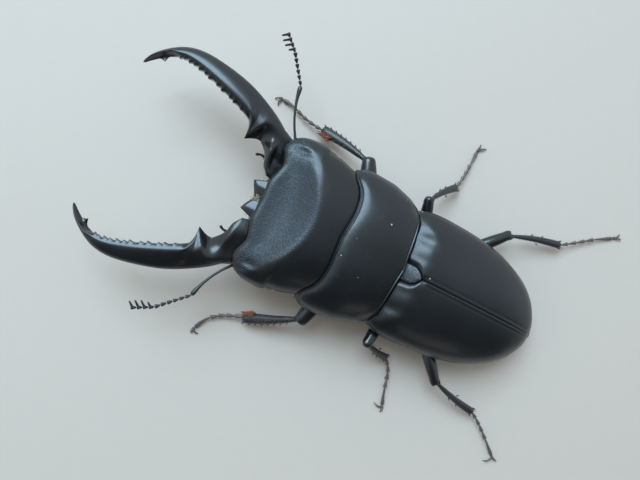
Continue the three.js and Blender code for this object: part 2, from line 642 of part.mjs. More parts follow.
// A pair of hooked claws joined at the end of the foot.
function clawGeometry(toe, ahead, tips) {
  const root = toe.clone().addScaledVector(ahead, GAP);
  const knuckle = ellipsoid(root.clone().addScaledVector(ahead, 0.35).toArray(), [0.45, 0.45, 0.4], 6, 4);
  const hooks = tips.map(([x, y]) => {
    const tip = vec([x, y, CLAW_TIP_HEIGHT]);
    const top = midpoint(root, tip, 0.6).addScaledVector(UPRIGHT, 0.35);
    const start = root.clone().addScaledVector(ahead, 0.3);
    return limb([start, top, tip], [0.6, 0.5, 0.3], [0.6, 0.5, 0.34], UPRIGHT, 4);
  });
  return carve(join(knuckle, ...hooks), floorBlock());
}

const trunkToGround = (point) => point.applyMatrix4(trunk.matrixWorld);
const groundToTrunk = (geometry) => geometry.applyMatrix4(trunk.matrixWorld.clone().invert());
const femurGrooves = [];

function addLeg(name) {
  const [pair, side] = name.split('_');
  const sign = side === 'left' ? 1 : -1;
  const hip = HIPS[pair];
  const size = LIMBS[pair];
  const pose = STANCE[name];
  const sided = (point) => [point[0], point[1] * sign, point[2]];
  const start = trunkToGround(vec(sided(hip.start)));
  const knee = vec(pose.knee);
  const ankle = vec(pose.ankle);
  const joints = pose.foot.map(vec);
  const toe = joints[joints.length - 1];
  const along = ankle.clone().sub(knee).normalize();
  const outside = along.clone().cross(UPRIGHT).normalize();
  if (outside.x * sign < 0) outside.negate();
  const ahead = toe.clone().sub(joints[joints.length - 2]).setZ(0).normalize();
  addTrunkPart(`coxa_${name}`, ellipsoid(sided(hip.coxa), hip.radii, 8, 5), SHINY_SHELL);
  addPart(beetle, `femur_${name}`, femurGeometry(start, knee, size), SHINY_SHELL);
  addPart(beetle, `tibia_${name}`, tibiaGeometry(knee, ankle, size, pair, outside), LIMB_SHELL);
  addPart(beetle, `tarsus_${name}`, tarsusGeometry(ankle, joints, size), FOOT_SHELL);
  addPart(beetle, `claws_${name}`, clawGeometry(toe, ahead, pose.claws), FOOT_SHELL);
  femurGrooves.push(groundToTrunk(femurGeometry(start, knee, size, GAP)));
  femurGrooves.push(ellipsoid(sided(hip.coxa), grown(hip.radii, GAP), 8, 5));
}

// ---------------------------------------------------------------- assembly

Object.keys(STANCE).forEach(addLeg);

addTrunkPart('head', headGeometry(), SHELL);
addTrunkPart('mentum', mentumBlock(0), SHELL);
addTrunkPart('clypeus', clypeusGeometry(), SHELL);
addTrunkPart('mandible_left', turnedJaw(JAW_TURN), SHELL);
addTrunkPart('mandible_right', mirrored(turnedJaw(-JAW_TURN)), SHELL);
addTrunkPair('eye', ellipsoid(EYE_CENTRE, EYE_RADII, 8, 5), EYE);
addTrunkPair('palp', palpGeometry(), LIMB_SHELL);
addFeeler('left');
addFeeler('right');
addTrunkPart('pronotum', pronotumGeometry(), SHELL);
addTrunkPart('prosternum', carve(prosternumGeometry(), ...femurGrooves), SHELL);
addTrunkPart('scutellum', scutellumGeometry(), SHELL);
addTrunkPair('elytron', elytronGeometry(), SHELL);
addTrunkPart('hind_thorax', carve(thoraxGeometry(), ...femurGrooves), SHELL);
addTrunkPart('abdomen', carve(abdomenGeometry(), ...femurGrooves), SHELL);

// The origin is under the middle of the whole beetle, on the ground.
beetle.updateMatrixWorld(true);
const reach = new THREE.Box3().setFromObject(beetle, true);
const centre = reach.getCenter(new THREE.Vector3());
beetle.position.set(-centre.x, -centre.y, 0);

export default beetle;
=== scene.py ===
"""A male giant stag beetle at life size, as a still museum-type model.

Every plate, limb and tooth is modelled in millimetres and put in place over the frame of solids
when it is finished. The trunk's own frame has x forward to the jaws, y to the left and z up. The
limbs are modelled over the ground.
"""

import json  # noqa: E402
import math  # noqa: E402
from types import SimpleNamespace  # noqa: E402

import bmesh  # noqa: E402
import bpy  # noqa: E402
import numpy as np  # noqa: E402
from bpy.props import (  # noqa: E402
    FloatProperty,
    FloatVectorProperty,
    PointerProperty,
)
from mathutils import Matrix, Vector  # noqa: E402

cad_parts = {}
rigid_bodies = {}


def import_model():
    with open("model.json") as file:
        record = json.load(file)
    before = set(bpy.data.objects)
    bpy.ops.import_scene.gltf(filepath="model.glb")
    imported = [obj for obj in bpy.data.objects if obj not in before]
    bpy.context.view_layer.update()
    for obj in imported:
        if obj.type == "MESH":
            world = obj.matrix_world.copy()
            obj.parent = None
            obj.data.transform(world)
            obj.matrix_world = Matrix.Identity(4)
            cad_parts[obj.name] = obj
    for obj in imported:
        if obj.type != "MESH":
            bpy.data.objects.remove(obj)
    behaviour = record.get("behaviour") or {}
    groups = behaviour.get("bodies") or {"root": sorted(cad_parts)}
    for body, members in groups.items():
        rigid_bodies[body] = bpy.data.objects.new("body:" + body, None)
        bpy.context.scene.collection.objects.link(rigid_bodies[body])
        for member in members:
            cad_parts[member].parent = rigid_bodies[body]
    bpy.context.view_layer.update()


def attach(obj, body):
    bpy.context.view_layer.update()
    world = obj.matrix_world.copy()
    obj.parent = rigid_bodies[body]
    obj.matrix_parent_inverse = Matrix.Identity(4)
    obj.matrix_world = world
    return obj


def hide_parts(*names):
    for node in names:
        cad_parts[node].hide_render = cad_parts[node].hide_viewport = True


bl_info = {
    "name": "Stag Beetle",
    "version": (1, 0, 0),
    "blender": (4, 5, 0),
    "location": "3D View > Sidebar > Stag Beetle",
    "description": "Builds a life-size male stag beetle with shell plates, jaws, legs and hairs",
    "category": "Add Mesh",
}

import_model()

# ---------------------------------------------------------------- sizes, in millimetres

MM = 0.001
GAP = 0.35                      # between neighbouring plates
RIM = 0.5                       # thickness of a plate's margin
SEAM = 0.22                     # between the pronotum and the wing cases
SUTURE = 0.025                  # from the middle of the back to each wing case
TRUNK_HEIGHT = 10
TRUNK_TILT = math.radians(5)
CENTRE_SHIFT = (1.534, 5.648)
HEAD_BACK, HEAD_FRONT, HEAD_EDGE = 16.35, 30.6, -0.3
CLYPEUS_BACK, CLYPEUS_TOOTH, CLYPEUS_HALF = 29.4, 2.97, 4.1
PRONOTUM_BACK, PRONOTUM_FRONT, PRONOTUM_EDGE = 0.4, 15.6, -0.6
ELYTRA_FRONT, ELYTRA_END, ELYTRA_EDGE = -0.3, -34, -0.5
SCUTELLUM_TIP, SCUTELLUM_BASE = -3.95, -0.5
THORAX_BACK, THORAX_FRONT = -14.5, -1
ABDOMEN_BACK, ABDOMEN_FRONT = -33.2, THORAX_BACK - GAP
BELLY_INSET = 0.9               # from a plate's margin to the belly plates below it
JAW_TURN = math.radians(2.3)
JAW_HINGE = Vector((30.5, 10, 0))
EYE_CENTRE = Vector((21.4, 13.7, -0.6))
EYE_RADII = Vector((1.5, 1.1, 1.3))
EYE_ROOM = Vector((0.12, 0.12, 0.12))
FEELER_ROOT = Vector((28.6, 12.9, -1.4))
FEELER_SOCKET = (0.75, 0.75, 0.65)
FEELERS = {
    "left": ((33.7, 21.9, -0.6), (38.8, 26.7, -0.7), (42.6, 28.6, -0.8)),
    "right": ((32.8, -23.1, -0.6), (36.6, -28.3, -0.7), (39.4, -31, -0.8)),
}
HIPS = {
    "fore": {"coxa": (8.3, 3.9, -5.3), "radii": (1.9, 3, 1.4), "start": (8.6, 7.2, -5.6)},
    "mid": {"coxa": (-4.4, 4.4, -5.6), "radii": (1.9, 2.4, 1.3), "start": (-4.6, 7.2, -5.7)},
    "hind": {"coxa": (-12, 4.6, -5.3), "radii": (1.7, 3.3, 1.2), "start": (-12.6, 8.1, -5.5)},
}
LIMBS = {
    "fore": {"femur": (3.9, 2.9), "knee": 2.8, "tibia": (1.75, 2.6), "flat": 1.6, "tarsus": 0.85},
    "mid": {"femur": (2.8, 2.4), "knee": 2.4, "tibia": (1.2, 1.8), "flat": 1.3, "tarsus": 0.8},
    "hind": {"femur": (2.8, 2.4), "knee": 2.3, "tibia": (1.2, 1.8), "flat": 1.2, "tarsus": 0.8},
}
TOE_HEIGHT, CLAW_TIP_HEIGHT = 0.34, 0.02
STANCE = {
    "fore_right": {
        "knee": (-17.3, -13.6, 6.4), "ankle": (-19.8, -25.1, 2.1),
        "foot": ((-20.6, -29.7, 1.3), (-21.9, -33.5, 0.8), (-22.1, -35.2, TOE_HEIGHT)),
        "claws": ((-20.4, -35.7), (-21.5, -37)),
    },
    "fore_left": {
        "knee": (17.6, -11.9, 6.8), "ankle": (23.1, -22.7, 2.1),
        "foot": ((24.8, -26.8, 1.3), (27.6, -29.8, 0.8), (29.5, -30.6, TOE_HEIGHT)),
        "claws": ((30.4, -29.4), (30.9, -30.9)),
    },
    "mid_right": {
        "knee": (-15.7, 1, 7.8), "ankle": (-22.3, 6.9, 2.1),
        "foot": ((-25.6, 7.5, 1.4), (-29, 7.8, 1), (-31.9, 8.1, TOE_HEIGHT)),
        "claws": ((-34, 8.2), (-33.5, 10)),
    },
    "mid_left": {
        "knee": (16.1, 2, 8.8), "ankle": (17.8, 9.1, 2.2),
        "foot": ((20.4, 11, 1.4), (24, 12.1, 1), (27.8, 13.5, TOE_HEIGHT)),
        "claws": ((28, 11.6), (29.3, 13.6)),
    },
    "hind_right": {
        "knee": (-17.4, 20.8, 4.9), "ankle": (-21.6, 34.3, 2.1),
        "foot": ((-23.9, 37.7, 1.4), (-26.8, 41.9, 1), (-29.2, 46.1, TOE_HEIGHT)),
        "claws": ((-29.7, 48.3), (-30.9, 47.3)),
    },
    "hind_left": {
        "knee": (17.5, 19.7, 5.6), "ankle": (20.5, 32.2, 2.1),
        "foot": ((22.3, 35, 1.4), (25, 38.4, 1), (27.7, 41.6, TOE_HEIGHT)),
        "claws": ((29.7, 40.3), (28.4, 43.4)),
    },
}

# ---------------------------------------------------------------- curves


def through(*pairs):
    """A smooth function through (at, value) pairs that never overshoots them."""
    at, value = np.array(pairs, float).T
    slope = np.diff(value) / np.diff(at)
    before, after = np.r_[slope[:1], slope], np.r_[slope, slope[-1:]]
    same = before * after > 0
    tangent = np.where(same, 2 * before * after / np.where(same, before + after, 1), 0)

    def curve(x):
        x = np.clip(x, at[0], at[-1])
        i = np.clip(np.searchsorted(at, x, side="right") - 1, 0, len(slope) - 1)
        span = at[i + 1] - at[i]
        t = (x - at[i]) / span
        held = value[i] * (1 + 2 * t) * (1 - t) ** 2 + value[i + 1] * t * t * (3 - 2 * t)
        return held + span * (tangent[i] * t * (1 - t) ** 2 - tangent[i + 1] * t * t * (1 - t))

    return curve


def bent(at, values):
    """A curve of even curvature through values, which may be numbers or points."""
    at, values = np.array(at, float), np.array(values, float)
    span = np.diff(at)
    count = len(at)
    system = np.eye(count)
    turn = np.zeros_like(values)
    for i in range(1, count - 1):
        system[i, i - 1:i + 2] = span[i - 1], 2 * (span[i - 1] + span[i]), span[i]
        rise = (values[i + 1] - values[i]) / span[i] - (values[i] - values[i - 1]) / span[i - 1]
        turn[i] = 6 * rise
    moment = np.linalg.solve(system, turn)

    def curve(x):
        x = np.asarray(x, float)
        i = np.clip(np.searchsorted(at, x, side="right") - 1, 0, count - 2)
        a, b, h = x - at[i], at[i + 1] - x, span[i]
        if values.ndim > 1:
            a, b, h = a[..., None], b[..., None], h[..., None]
        cubic = (moment[i] * b ** 3 + moment[i + 1] * a ** 3) / (6 * h)
        left, right = values[i] / h - moment[i] * h / 6, values[i + 1] / h - moment[i + 1] * h / 6
        return cubic + left * b + right * a

    return curve


def crown(*pairs):
    """A smooth height curve along the body."""
    return bent(*zip(*pairs))


def lerp(a, b, t):
    """A value between a and b."""
    return a + (b - a) * t


def bump(distance, width):
    """A rounded ridge: 1 on it, 0 away from it."""
    return np.exp(-(distance / width) ** 2)


def step(edge, width, value):
    """0 before an edge, 1 after it, smooth over a width."""
    t = np.clip((value - edge) / width + 0.5, 0, 1)
    return t * t * (3 - 2 * t)


def dome(u, power):
    """An arch over u from -1 to 1: the higher the power, the squarer its shoulders."""
    return np.sqrt(np.maximum(1 - np.abs(u) ** power, 0))


pronotum_front = through((0, 13.9), (3, 13.65), (5.5, 13.45), (8, 13.6), (10.2, 14.3),
                         (12.6, 15.8), (13.7, 15.7), (14.5, 15.2))
pronotum_rear = through((0, -0.4), (3.1, 0), (7, 0.25), (9.8, 0.4), (11.6, 0.9), (12.4, 0.6))
head_front = through((0, 30.2), (3.5, 30.4), (6, 29.85), (7.8, 29.5), (9.2, 29.9), (10.8, 30.5),
                     (11.8, 30.6), (13.3, 30.1))
head_half = through((16.35, 13.2), (18, 13.6), (20.5, 14.2), (22.3, 14.4), (24, 15.1), (25.6, 15),
                    (27.2, 14.8), (28.6, 14.3), (29.6, 13.6), (30.3, 12.8), (30.6, 12))
pronotum_half = through((0.4, 12.3), (1.6, 13), (3.6, 13.9), (5.2, 14.3), (8.3, 14.9), (12.9, 15),
                        (14.6, 14.7), (15.6, 13.9))
elytra_half = through((-34, 0.5), (-33.85, 1.6), (-33.5, 2.7), (-32.6, 4.3), (-30.7, 6.9),
                      (-27.5, 9.4), (-23, 11.5), (-19, 12.7), (-15, 13.3), (-11, 13.6),
                      (-6.5, 13.7), (-2.4, 13.4), (-0.3, 12.6))
head_crown = crown((12, 4.4), (17.5, 4.8), (20.3, 4.5), (22.5, 3.55), (25, 2.45), (28, 1.6),
                   (31, 1.15))
pronotum_crown = crown((-1, 4.7), (3, 5.6), (7, 5.85), (11, 5.5), (14, 4.9), (17, 4))
elytra_crown = crown((-34.2, -0.5), (-33, 0.7), (-31, 1.95), (-28, 3.25), (-24, 4.35), (-18, 5.3),
                     (-12, 5.65), (-6.5, 5.5), (-3.8, 5.15), (-2.4, 4.6), (1, 2.9))
elytra_edge = through((-34, -1), (-30, -0.9), (-24, -0.7), (0, ELYTRA_EDGE))
head_belly = crown((14, -4.8), (20, -4.8), (26, -4.2), (31, -2.9))
prosternum_belly = crown((-1, -4.9), (5, -5.4), (10, -5.3), (15, -4.5))
thorax_belly = crown((-16, -5.1), (-10, -5.7), (-4, -5.6), (1, -4.9))
abdomen_belly = crown((-33.6, -1.8), (-31, -2.6), (-26, -3.9), (-20, -4.8), (-14, -5.2))
scutellum_half = through((SCUTELLUM_TIP, 0.35), (-3.6, 0.9), (-3, 1.5), (-2.4, 1.8),
                         (SCUTELLUM_BASE, 1.9))

# ---------------------------------------------------------------- modelling steps

UP = (0, 0, 1)
COS, SIN = math.cos(TRUNK_TILT), math.sin(TRUNK_TILT)
GROUND = Matrix.Scale(MM, 4) @ Matrix.Translation((*CENTRE_SHIFT, 0))
TRUNK = GROUND @ Matrix((
    (0, 1, 0, 0),
    (-COS, 0, SIN, 0),
    (SIN, 0, COS, TRUNK_HEIGHT),
    (0, 0, 0, 1),
))
OTHER_SIDE = Matrix.Scale(-1, 4, Vector((0, 1, 0)))


def start_piece(name):
    """An empty piece, open in edit mode."""
    if bpy.context.object and bpy.context.object.mode != "OBJECT":
        bpy.ops.object.mode_set(mode="OBJECT")
    bpy.ops.object.select_all(action="DESELECT")
    bpy.ops.object.add(type="MESH")
    piece = bpy.context.object
    piece.name = piece.data.name = name
    bpy.ops.object.mode_set(mode="EDIT")
    return piece


def chosen(piece):
    """The selected points of a piece in edit mode."""
    return [v for v in bmesh.from_edit_mesh(piece.data).verts if v.select]


def extrude_rings(piece, rings):
    """A disc on the first ring, extruded from ring to ring, so that both ends are closed."""
    bpy.ops.mesh.select_all(action="DESELECT")
    bpy.ops.mesh.primitive_circle_add(vertices=len(rings[0]), fill_type="NGON")
    points = chosen(piece)
    for number, ring in enumerate(rings):
        if number:
            order = {tuple(v.co): k for k, v in enumerate(points)}
            bpy.ops.mesh.extrude_region()
            points = sorted(chosen(piece), key=lambda v: order[tuple(v.co)])
        for v, at in zip(points, ring):
            v.co = at
    bmesh.update_edit_mesh(piece.data)


def ring_set(path, widths, depths, up, sides):
    """Oval rings across a path of points."""
    path = np.asarray(path, float)
    along = np.gradient(path, axis=0)
    along /= np.linalg.norm(along, axis=1, keepdims=True)
    sideways = np.cross(np.broadcast_to(np.asarray(up, float), along.shape), along)
    sideways /= np.linalg.norm(sideways, axis=1, keepdims=True)
    upright = np.cross(along, sideways)
    angle = 2 * np.pi * (np.arange(sides) + 0.5) / sides
    cos, sin = np.cos(angle)[None, :, None], np.sin(angle)[None, :, None]
    widths, depths = (np.asarray(size)[:, None, None] for size in (widths, depths))
    right = cos * sideways[:, None, :] * widths / 2
    lift = sin * upright[:, None, :] * depths / 2
    return path[:, None, :] + right + lift


def route(points):
    """A smooth path through points, as a function of the share of its length from 0 to 1."""
    points = np.asarray(points, float)
    lengths = np.r_[0, np.cumsum(np.linalg.norm(np.diff(points, axis=0), axis=1))]
    return bent(lengths / lengths[-1], points)


def extrude_limb(piece, path, profile, size=1, sides=10):
    """A limb along a path. A row of its profile has a stop from 0 to 1, a width and, if it
    differs, a depth."""
    columns = np.array(profile, float).T
    stops, widths, depths = columns[0], columns[1], columns[-1]
    across, down = np.broadcast_to(size, 2)
    extrude_rings(piece, ring_set(path(stops), widths * across, depths * down, UP, sides))


THORN_STOPS = np.array([0, 0.3, 0.6, 0.85, 1])
THORN_TAPER = np.array([1, 0.78, 0.5, 0.25, 0.06])
THORN_SIDES = 6
THORN_STEEP = 0.8               # share of its length that a steep thorn rises


def extrude_thorn(piece, root, tip, radius, lean=(0, 0, 0)):
    """A thorn from its root to its tip, bowed by lean."""
    root, tip, lean = (np.asarray(p, float) for p in (root, tip, lean))
    reach = tip - root
    path = root + reach * THORN_STOPS[:, None] + lean * (THORN_STOPS * (1 - THORN_STOPS))[:, None]
    up = UP if abs(reach[2]) < THORN_STEEP * np.linalg.norm(reach) else (1, 0, 0)
    width = radius * 2 * THORN_TAPER
    extrude_rings(piece, ring_set(path, width, width, up, THORN_SIDES))


WALL_STEPS = 4                  # rows of faces down the side walls of a slab
ON_MARGIN = 1e-4                # how near its end a slab's point counts as on the margin


def slab(name, rows, columns):
    """A grid thickened by extrusion: x runs along, y across, and z down its thickness."""
    piece = start_piece(name)
    bpy.ops.mesh.primitive_grid_add(x_subdivisions=rows, y_subdivisions=columns, size=2)
    for _ in range(WALL_STEPS):
        move = {"value": (0, 0, -1 / WALL_STEPS)}
        bpy.ops.mesh.extrude_region_move(TRANSFORM_OT_translate=move)
    bpy.ops.mesh.select_all(action="SELECT")
    bpy.ops.mesh.normals_make_consistent(inside=False)
    bpy.ops.object.mode_set(mode="OBJECT")
    return piece


def points_of(piece):
    """The places of a piece's points, one row for each."""
    flat = np.empty(len(piece.data.vertices) * 3, np.float32)
    piece.data.vertices.foreach_get("co", flat)
    return flat.reshape(-1, 3).astype(float)


def place_points(piece, points):
    """Move the points of a piece to new places."""
    piece.data.vertices.foreach_set("co", points.astype(np.float32).ravel())
    piece.data.update()


def press(piece, shape):
    """Each point of a slab is pressed into place by shape(v, u, w): along, across, down."""
    x, y, z = points_of(piece).T
    place_points(piece, np.column_stack(shape((x + 1) / 2, y, np.clip(-z, 0, 1))))


def crowd(t):
    """Values from 0 to 1 moved closer together at both ends."""
    return lerp(t, (1 - np.cos(np.pi * t)) / 2, 0.6)


def wall_swell(v, u, w, swell):
    """How far the side walls of a slab stand out, along and across, to round the margin."""
    out = swell * np.sin(np.pi * w)
    ends = np.where(v < ON_MARGIN, -out, 0) + np.where(v > 1 - ON_MARGIN, out, 0)
    return ends, np.where(np.abs(u) > 1 - ON_MARGIN, out, 0) * np.sign(u)


def turn_outward(piece):
    """Flip the faces of a closed piece if they face its inside."""
    piece.data.calc_loop_triangles()
    corners = np.array([triangle.vertices[:] for triangle in piece.data.loop_triangles])
    a, b, c = points_of(piece)[corners.T]
    if np.einsum("ij,ij", a, np.cross(b, c)) < 0:
        piece.data.flip_normals()


def finish_piece(piece, nodes, material, place, levels=0, rough=None):
    """Close the modelling of a piece: smooth it, put it in place and let it ride the frame."""
    if piece.mode != "EDIT":
        bpy.ops.object.select_all(action="DESELECT")
        bpy.context.view_layer.objects.active = piece
        bpy.ops.object.mode_set(mode="EDIT")
    bpy.ops.mesh.select_all(action="SELECT")
    bpy.ops.mesh.normals_make_consistent(inside=False)
    bpy.ops.object.mode_set(mode="OBJECT")
    turn_outward(piece)
    if levels:
        smoother = piece.modifiers.new("smoother", "SUBSURF")
        smoother.levels = smoother.render_levels = levels
        bpy.ops.object.modifier_apply(modifier=smoother.name)
    if rough is not None:
        mask = piece.data.attributes.new("rough", "FLOAT", "POINT")
        mask.data.foreach_set("value", rough(points_of(piece)).astype(np.float32))
    piece.data.transform(place)
    if place is GROUND:
        place_points(piece, np.maximum(points_of(piece), (-np.inf, -np.inf, 0)))
    bpy.ops.object.select_all(action="DESELECT")
    piece.select_set(True)
    bpy.context.view_layer.objects.active = piece
    bpy.ops.object.shade_smooth()
    piece.data.materials.clear()
    piece.data.materials.append(material)
    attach(piece, "root")
    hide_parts(*nodes)
    return piece


def mirror_copy(piece, name):
    """The same shape on the other side of the trunk, with its own mesh."""
    twin = piece.copy()
    twin.data = piece.data.copy()
    twin.name = twin.data.name = name
    bpy.context.scene.collection.objects.link(twin)
    twin.data.transform(OTHER_SIDE)
    twin.data.flip_normals()
    return twin


def across_from(point):
    """The same place on the other side of the trunk."""
    return Vector((point[0], -point[1], point[2]))


# ---------------------------------------------------------------- finishes


def new_group(name, inputs, outputs):
    """An empty shader group with named number inputs, and its input and output nodes."""
    group = bpy.data.node_groups.new(name, "ShaderNodeTree")
    group.interface.new_socket("Vector", in_out="INPUT", socket_type="NodeSocketVector")
    for label, value in inputs.items():
        socket = group.interface.new_socket(label, in_out="INPUT", socket_type="NodeSocketFloat")
        socket.default_value = value
    for label in outputs:
        group.interface.new_socket(label, in_out="OUTPUT", socket_type="NodeSocketFloat")
    return group, group.nodes.new("NodeGroupInput"), group.nodes.new("NodeGroupOutput")


def add_node(tree, kind, values=None, **settings):
    """A node with its settings, and its inputs set to values or linked to sockets."""
    node = tree.nodes.new(kind)
    for key, setting in settings.items():
        setattr(node, key, setting)
    for key, value in (values or {}).items():
        if isinstance(value, bpy.types.NodeSocket):
            tree.links.new(value, node.inputs[key])
        else:
            node.inputs[key].default_value = value
    return node


def math_node(tree, operation, a, b=0.0):
    """The result of a sum on two values."""
    return add_node(tree, "ShaderNodeMath", {0: a, 1: b}, operation=operation).outputs[0]


def ramp(tree, value, low, high, out_low=0.0, out_high=1.0):
    """A value eased from one range to another."""
    node = add_node(tree, "ShaderNodeMapRange",
                    {"Value": value, "From Min": low, "From Max": high, "To Min": out_low,
                     "To Max": out_high}, interpolation_type="SMOOTHSTEP")
    return node.outputs["Result"]


def pits_group():
    """Fine round punctures, as deep as Depth, with a fine grain between them."""
    group, given, result = new_group(
        "shell_punctures",
        {"Pits per metre": 3000, "Pit radius": 0.3, "Depth": 1, "Grain per metre": 9000,
         "Grain": 0.3},
        ("Height", "Pit"))
    cells = add_node(group, "ShaderNodeTexVoronoi",
                     {"Vector": given.outputs["Vector"], "Scale": given.outputs["Pits per metre"]})
    pit = ramp(group, cells.outputs["Distance"], 0.0, given.outputs["Pit radius"], 1, 0)
    grain = add_node(group, "ShaderNodeTexNoise",
                     {"Vector": given.outputs["Vector"],
                      "Scale": given.outputs["Grain per metre"], "Detail": 2.0})
    rise = math_node(group, "MULTIPLY", grain.outputs["Fac"], given.outputs["Grain"])
    fall = math_node(group, "MULTIPLY", pit, given.outputs["Depth"])
    group.links.new(math_node(group, "SUBTRACT", rise, fall), result.inputs["Height"])
    group.links.new(pit, result.inputs["Pit"])
    return group


def granules_group():
    """Crowded rounded granules, as on the front slope of the head."""
    group, given, result = new_group(
        "shell_granules", {"Granules per metre": 3700, "Wear": 0.4}, ("Height", "Shine"))
    wobble = add_node(group, "ShaderNodeTexNoise",
                      {"Vector": given.outputs["Vector"], "Scale": 1600.0, "Detail": 3.0})
    cells = add_node(group, "ShaderNodeTexVoronoi",
                     {"Vector": given.outputs["Vector"],
                      "Scale": given.outputs["Granules per metre"], "Smoothness": 0.5},
                     feature="SMOOTH_F1")
    domes = ramp(group, cells.outputs["Distance"], 0.05, 0.55, 1, 0)
    worn = math_node(group, "MULTIPLY", wobble.outputs["Fac"], given.outputs["Wear"])
    group.links.new(math_node(group, "ADD", domes, worn), result.inputs["Height"])
    # The Shine mask marks the granule tops, where the painted sheen is tinted on.
    group.links.new(domes, result.inputs["Shine"])
    return group


def dust_group():
    """Sparse pale specks of dust."""
    group, given, result = new_group(
        "dust_specks", {"Specks per metre": 320, "Speck size": 0.055, "Share": 0.6}, ("Mask",))
    cells = add_node(group, "ShaderNodeTexVoronoi",
                     {"Vector": given.outputs["Vector"],
                      "Scale": given.outputs["Specks per metre"]})
    chance = add_node(group, "ShaderNodeSeparateColor", {"Color": cells.outputs["Color"]})
    picked = math_node(group, "LESS_THAN", chance.outputs["Red"], given.outputs["Share"])
    size = math_node(group, "MULTIPLY", chance.outputs["Green"], given.outputs["Speck size"])
    inside = math_node(group, "LESS_THAN", cells.outputs["Distance"], size)
    group.links.new(math_node(group, "MULTIPLY", inside, picked), result.inputs["Mask"])
    return group


def tone_group():
    """Slow cloudy changes of tone, and faint rubbed patches."""
    group, given, result = new_group(
        "shell_tone", {"Clouds per metre": 90, "Rubs per metre": 700}, ("Cloud", "Rub"))
    cloud = add_node(group, "ShaderNodeTexNoise",
                     {"Vector": given.outputs["Vector"],
                      "Scale": given.outputs["Clouds per metre"], "Detail": 4.0})
    rub = add_node(group, "ShaderNodeTexNoise",
                   {"Vector": given.outputs["Vector"],
                    "Scale": given.outputs["Rubs per metre"], "Detail": 5.0, "Roughness": 0.65})
    group.links.new(ramp(group, cloud.outputs["Fac"], 0.3, 0.7), result.inputs["Cloud"])
    group.links.new(ramp(group, rub.outputs["Fac"], 0.45, 0.75), result.inputs["Rub"])
    return group


GROUPS = {}


def shared(build):
    """Each shared effect is built once."""
    if build.__name__ not in GROUPS:
        GROUPS[build.__name__] = build()
    return GROUPS[build.__name__]


def place_group(tree, build, vector, values=None):
    """A shared effect in a material, with the material's own values."""
    return add_node(tree, "ShaderNodeGroup", {"Vector": vector, **(values or {})},
                    node_tree=shared(build)).outputs


def mix(tree, factor, a, b):
    """A colour between two others."""
    node = add_node(tree, "ShaderNodeMix", data_type="RGBA")
    for name, value in (("Factor", factor), ("A", a), ("B", b)):
        socket = next(s for s in node.inputs if s.name == name and
                      s.type == ("VALUE" if name == "Factor" else "RGBA"))
        if isinstance(value, bpy.types.NodeSocket):
            tree.links.new(value, socket)
        else:
            socket.default_value = value
    return next(s for s in node.outputs if s.type == "RGBA")


def colour(rgb, share=1.0):
    """A colour with its alpha, darkened to a share."""
    return (*(c * share for c in rgb), 1)


def new_material(name):
    """A material, its nodes, its shader and its Object coordinates."""
    material = bpy.data.materials.new(name)
    material.use_nodes = True
    tree = material.node_tree
    where = add_node(tree, "ShaderNodeTexCoord").outputs["Object"]
    return material, tree, tree.nodes["Principled BSDF"], where


DUST_TONE, DUST_COVER, DUST_DULL = (0.55, 0.56, 0.56), 0.8, 0.4
# The last of these is how far the granule tips are tinted towards a painted bluish sheen.
GRANULE_RELIEF, GRANULE_DULL, GRANULE_SHEEN = 7.0, 0.12, 0.7
RUBBED_GLOSS = (0.92, 1.16)     # share of the roughness on polished and on rubbed shell
COAT_ROUGHNESS = 0.22


def shell_material(name, dark, light, roughness, pits, pit_radius, pit_depth, grain,
                   bump_height, worn=None, coat=0.2, dust=0.6):
    """Black horny shell: cloudy tone, punctures, grain and dust, and granules if worn is given,
    their tips tinted towards worn as a painted bluish sheen of the cool light.
    """
    material, tree, shader, where = new_material(name)
    tone = place_group(tree, tone_group, where)
    surface = place_group(tree, pits_group, where,
                          {"Pits per metre": pits, "Pit radius": pit_radius, "Depth": pit_depth,
                           "Grain": grain})
    specks = place_group(tree, dust_group, where, {"Share": dust})["Mask"]
    height = surface["Height"]
    gloss = ramp(tree, tone["Rub"], 0, 1, *(roughness * share for share in RUBBED_GLOSS))
    tint = mix(tree, tone["Cloud"], colour(dark), colour(light))
    if worn is not None:
        mask = add_node(tree, "ShaderNodeAttribute", attribute_name="rough").outputs["Fac"]
        grains = place_group(tree, granules_group, where)
        extra = math_node(tree, "MULTIPLY", grains["Height"], mask)
        extra = math_node(tree, "MULTIPLY", extra, GRANULE_RELIEF)
        height = math_node(tree, "ADD", height, extra)
        gloss = math_node(tree, "ADD", gloss, math_node(tree, "MULTIPLY", mask, GRANULE_DULL))
        # Painted sheen: the granule tips are tinted pale blue, standing for the cool light that
        # they reflect.
        tips = math_node(tree, "MULTIPLY", grains["Shine"], mask)
        tint = mix(tree, math_node(tree, "MULTIPLY", tips, GRANULE_SHEEN), tint, colour(worn))
    tint = mix(tree, math_node(tree, "MULTIPLY", specks, DUST_COVER), tint, colour(DUST_TONE))
    gloss = math_node(tree, "ADD", gloss, math_node(tree, "MULTIPLY", specks, DUST_DULL))
    relief = add_node(tree, "ShaderNodeBump",
                      {"Strength": 1.0, "Distance": bump_height, "Height": height})
    tree.links.new(tint, shader.inputs["Base Color"])
    tree.links.new(gloss, shader.inputs["Roughness"])
    tree.links.new(relief.outputs["Normal"], shader.inputs["Normal"])
    shader.inputs["Coat Weight"].default_value = coat
    shader.inputs["Coat Roughness"].default_value = COAT_ROUGHNESS
    return material


HAIR_ROUGHNESS, STRANDS_PER_METRE = 0.45, 5000.0


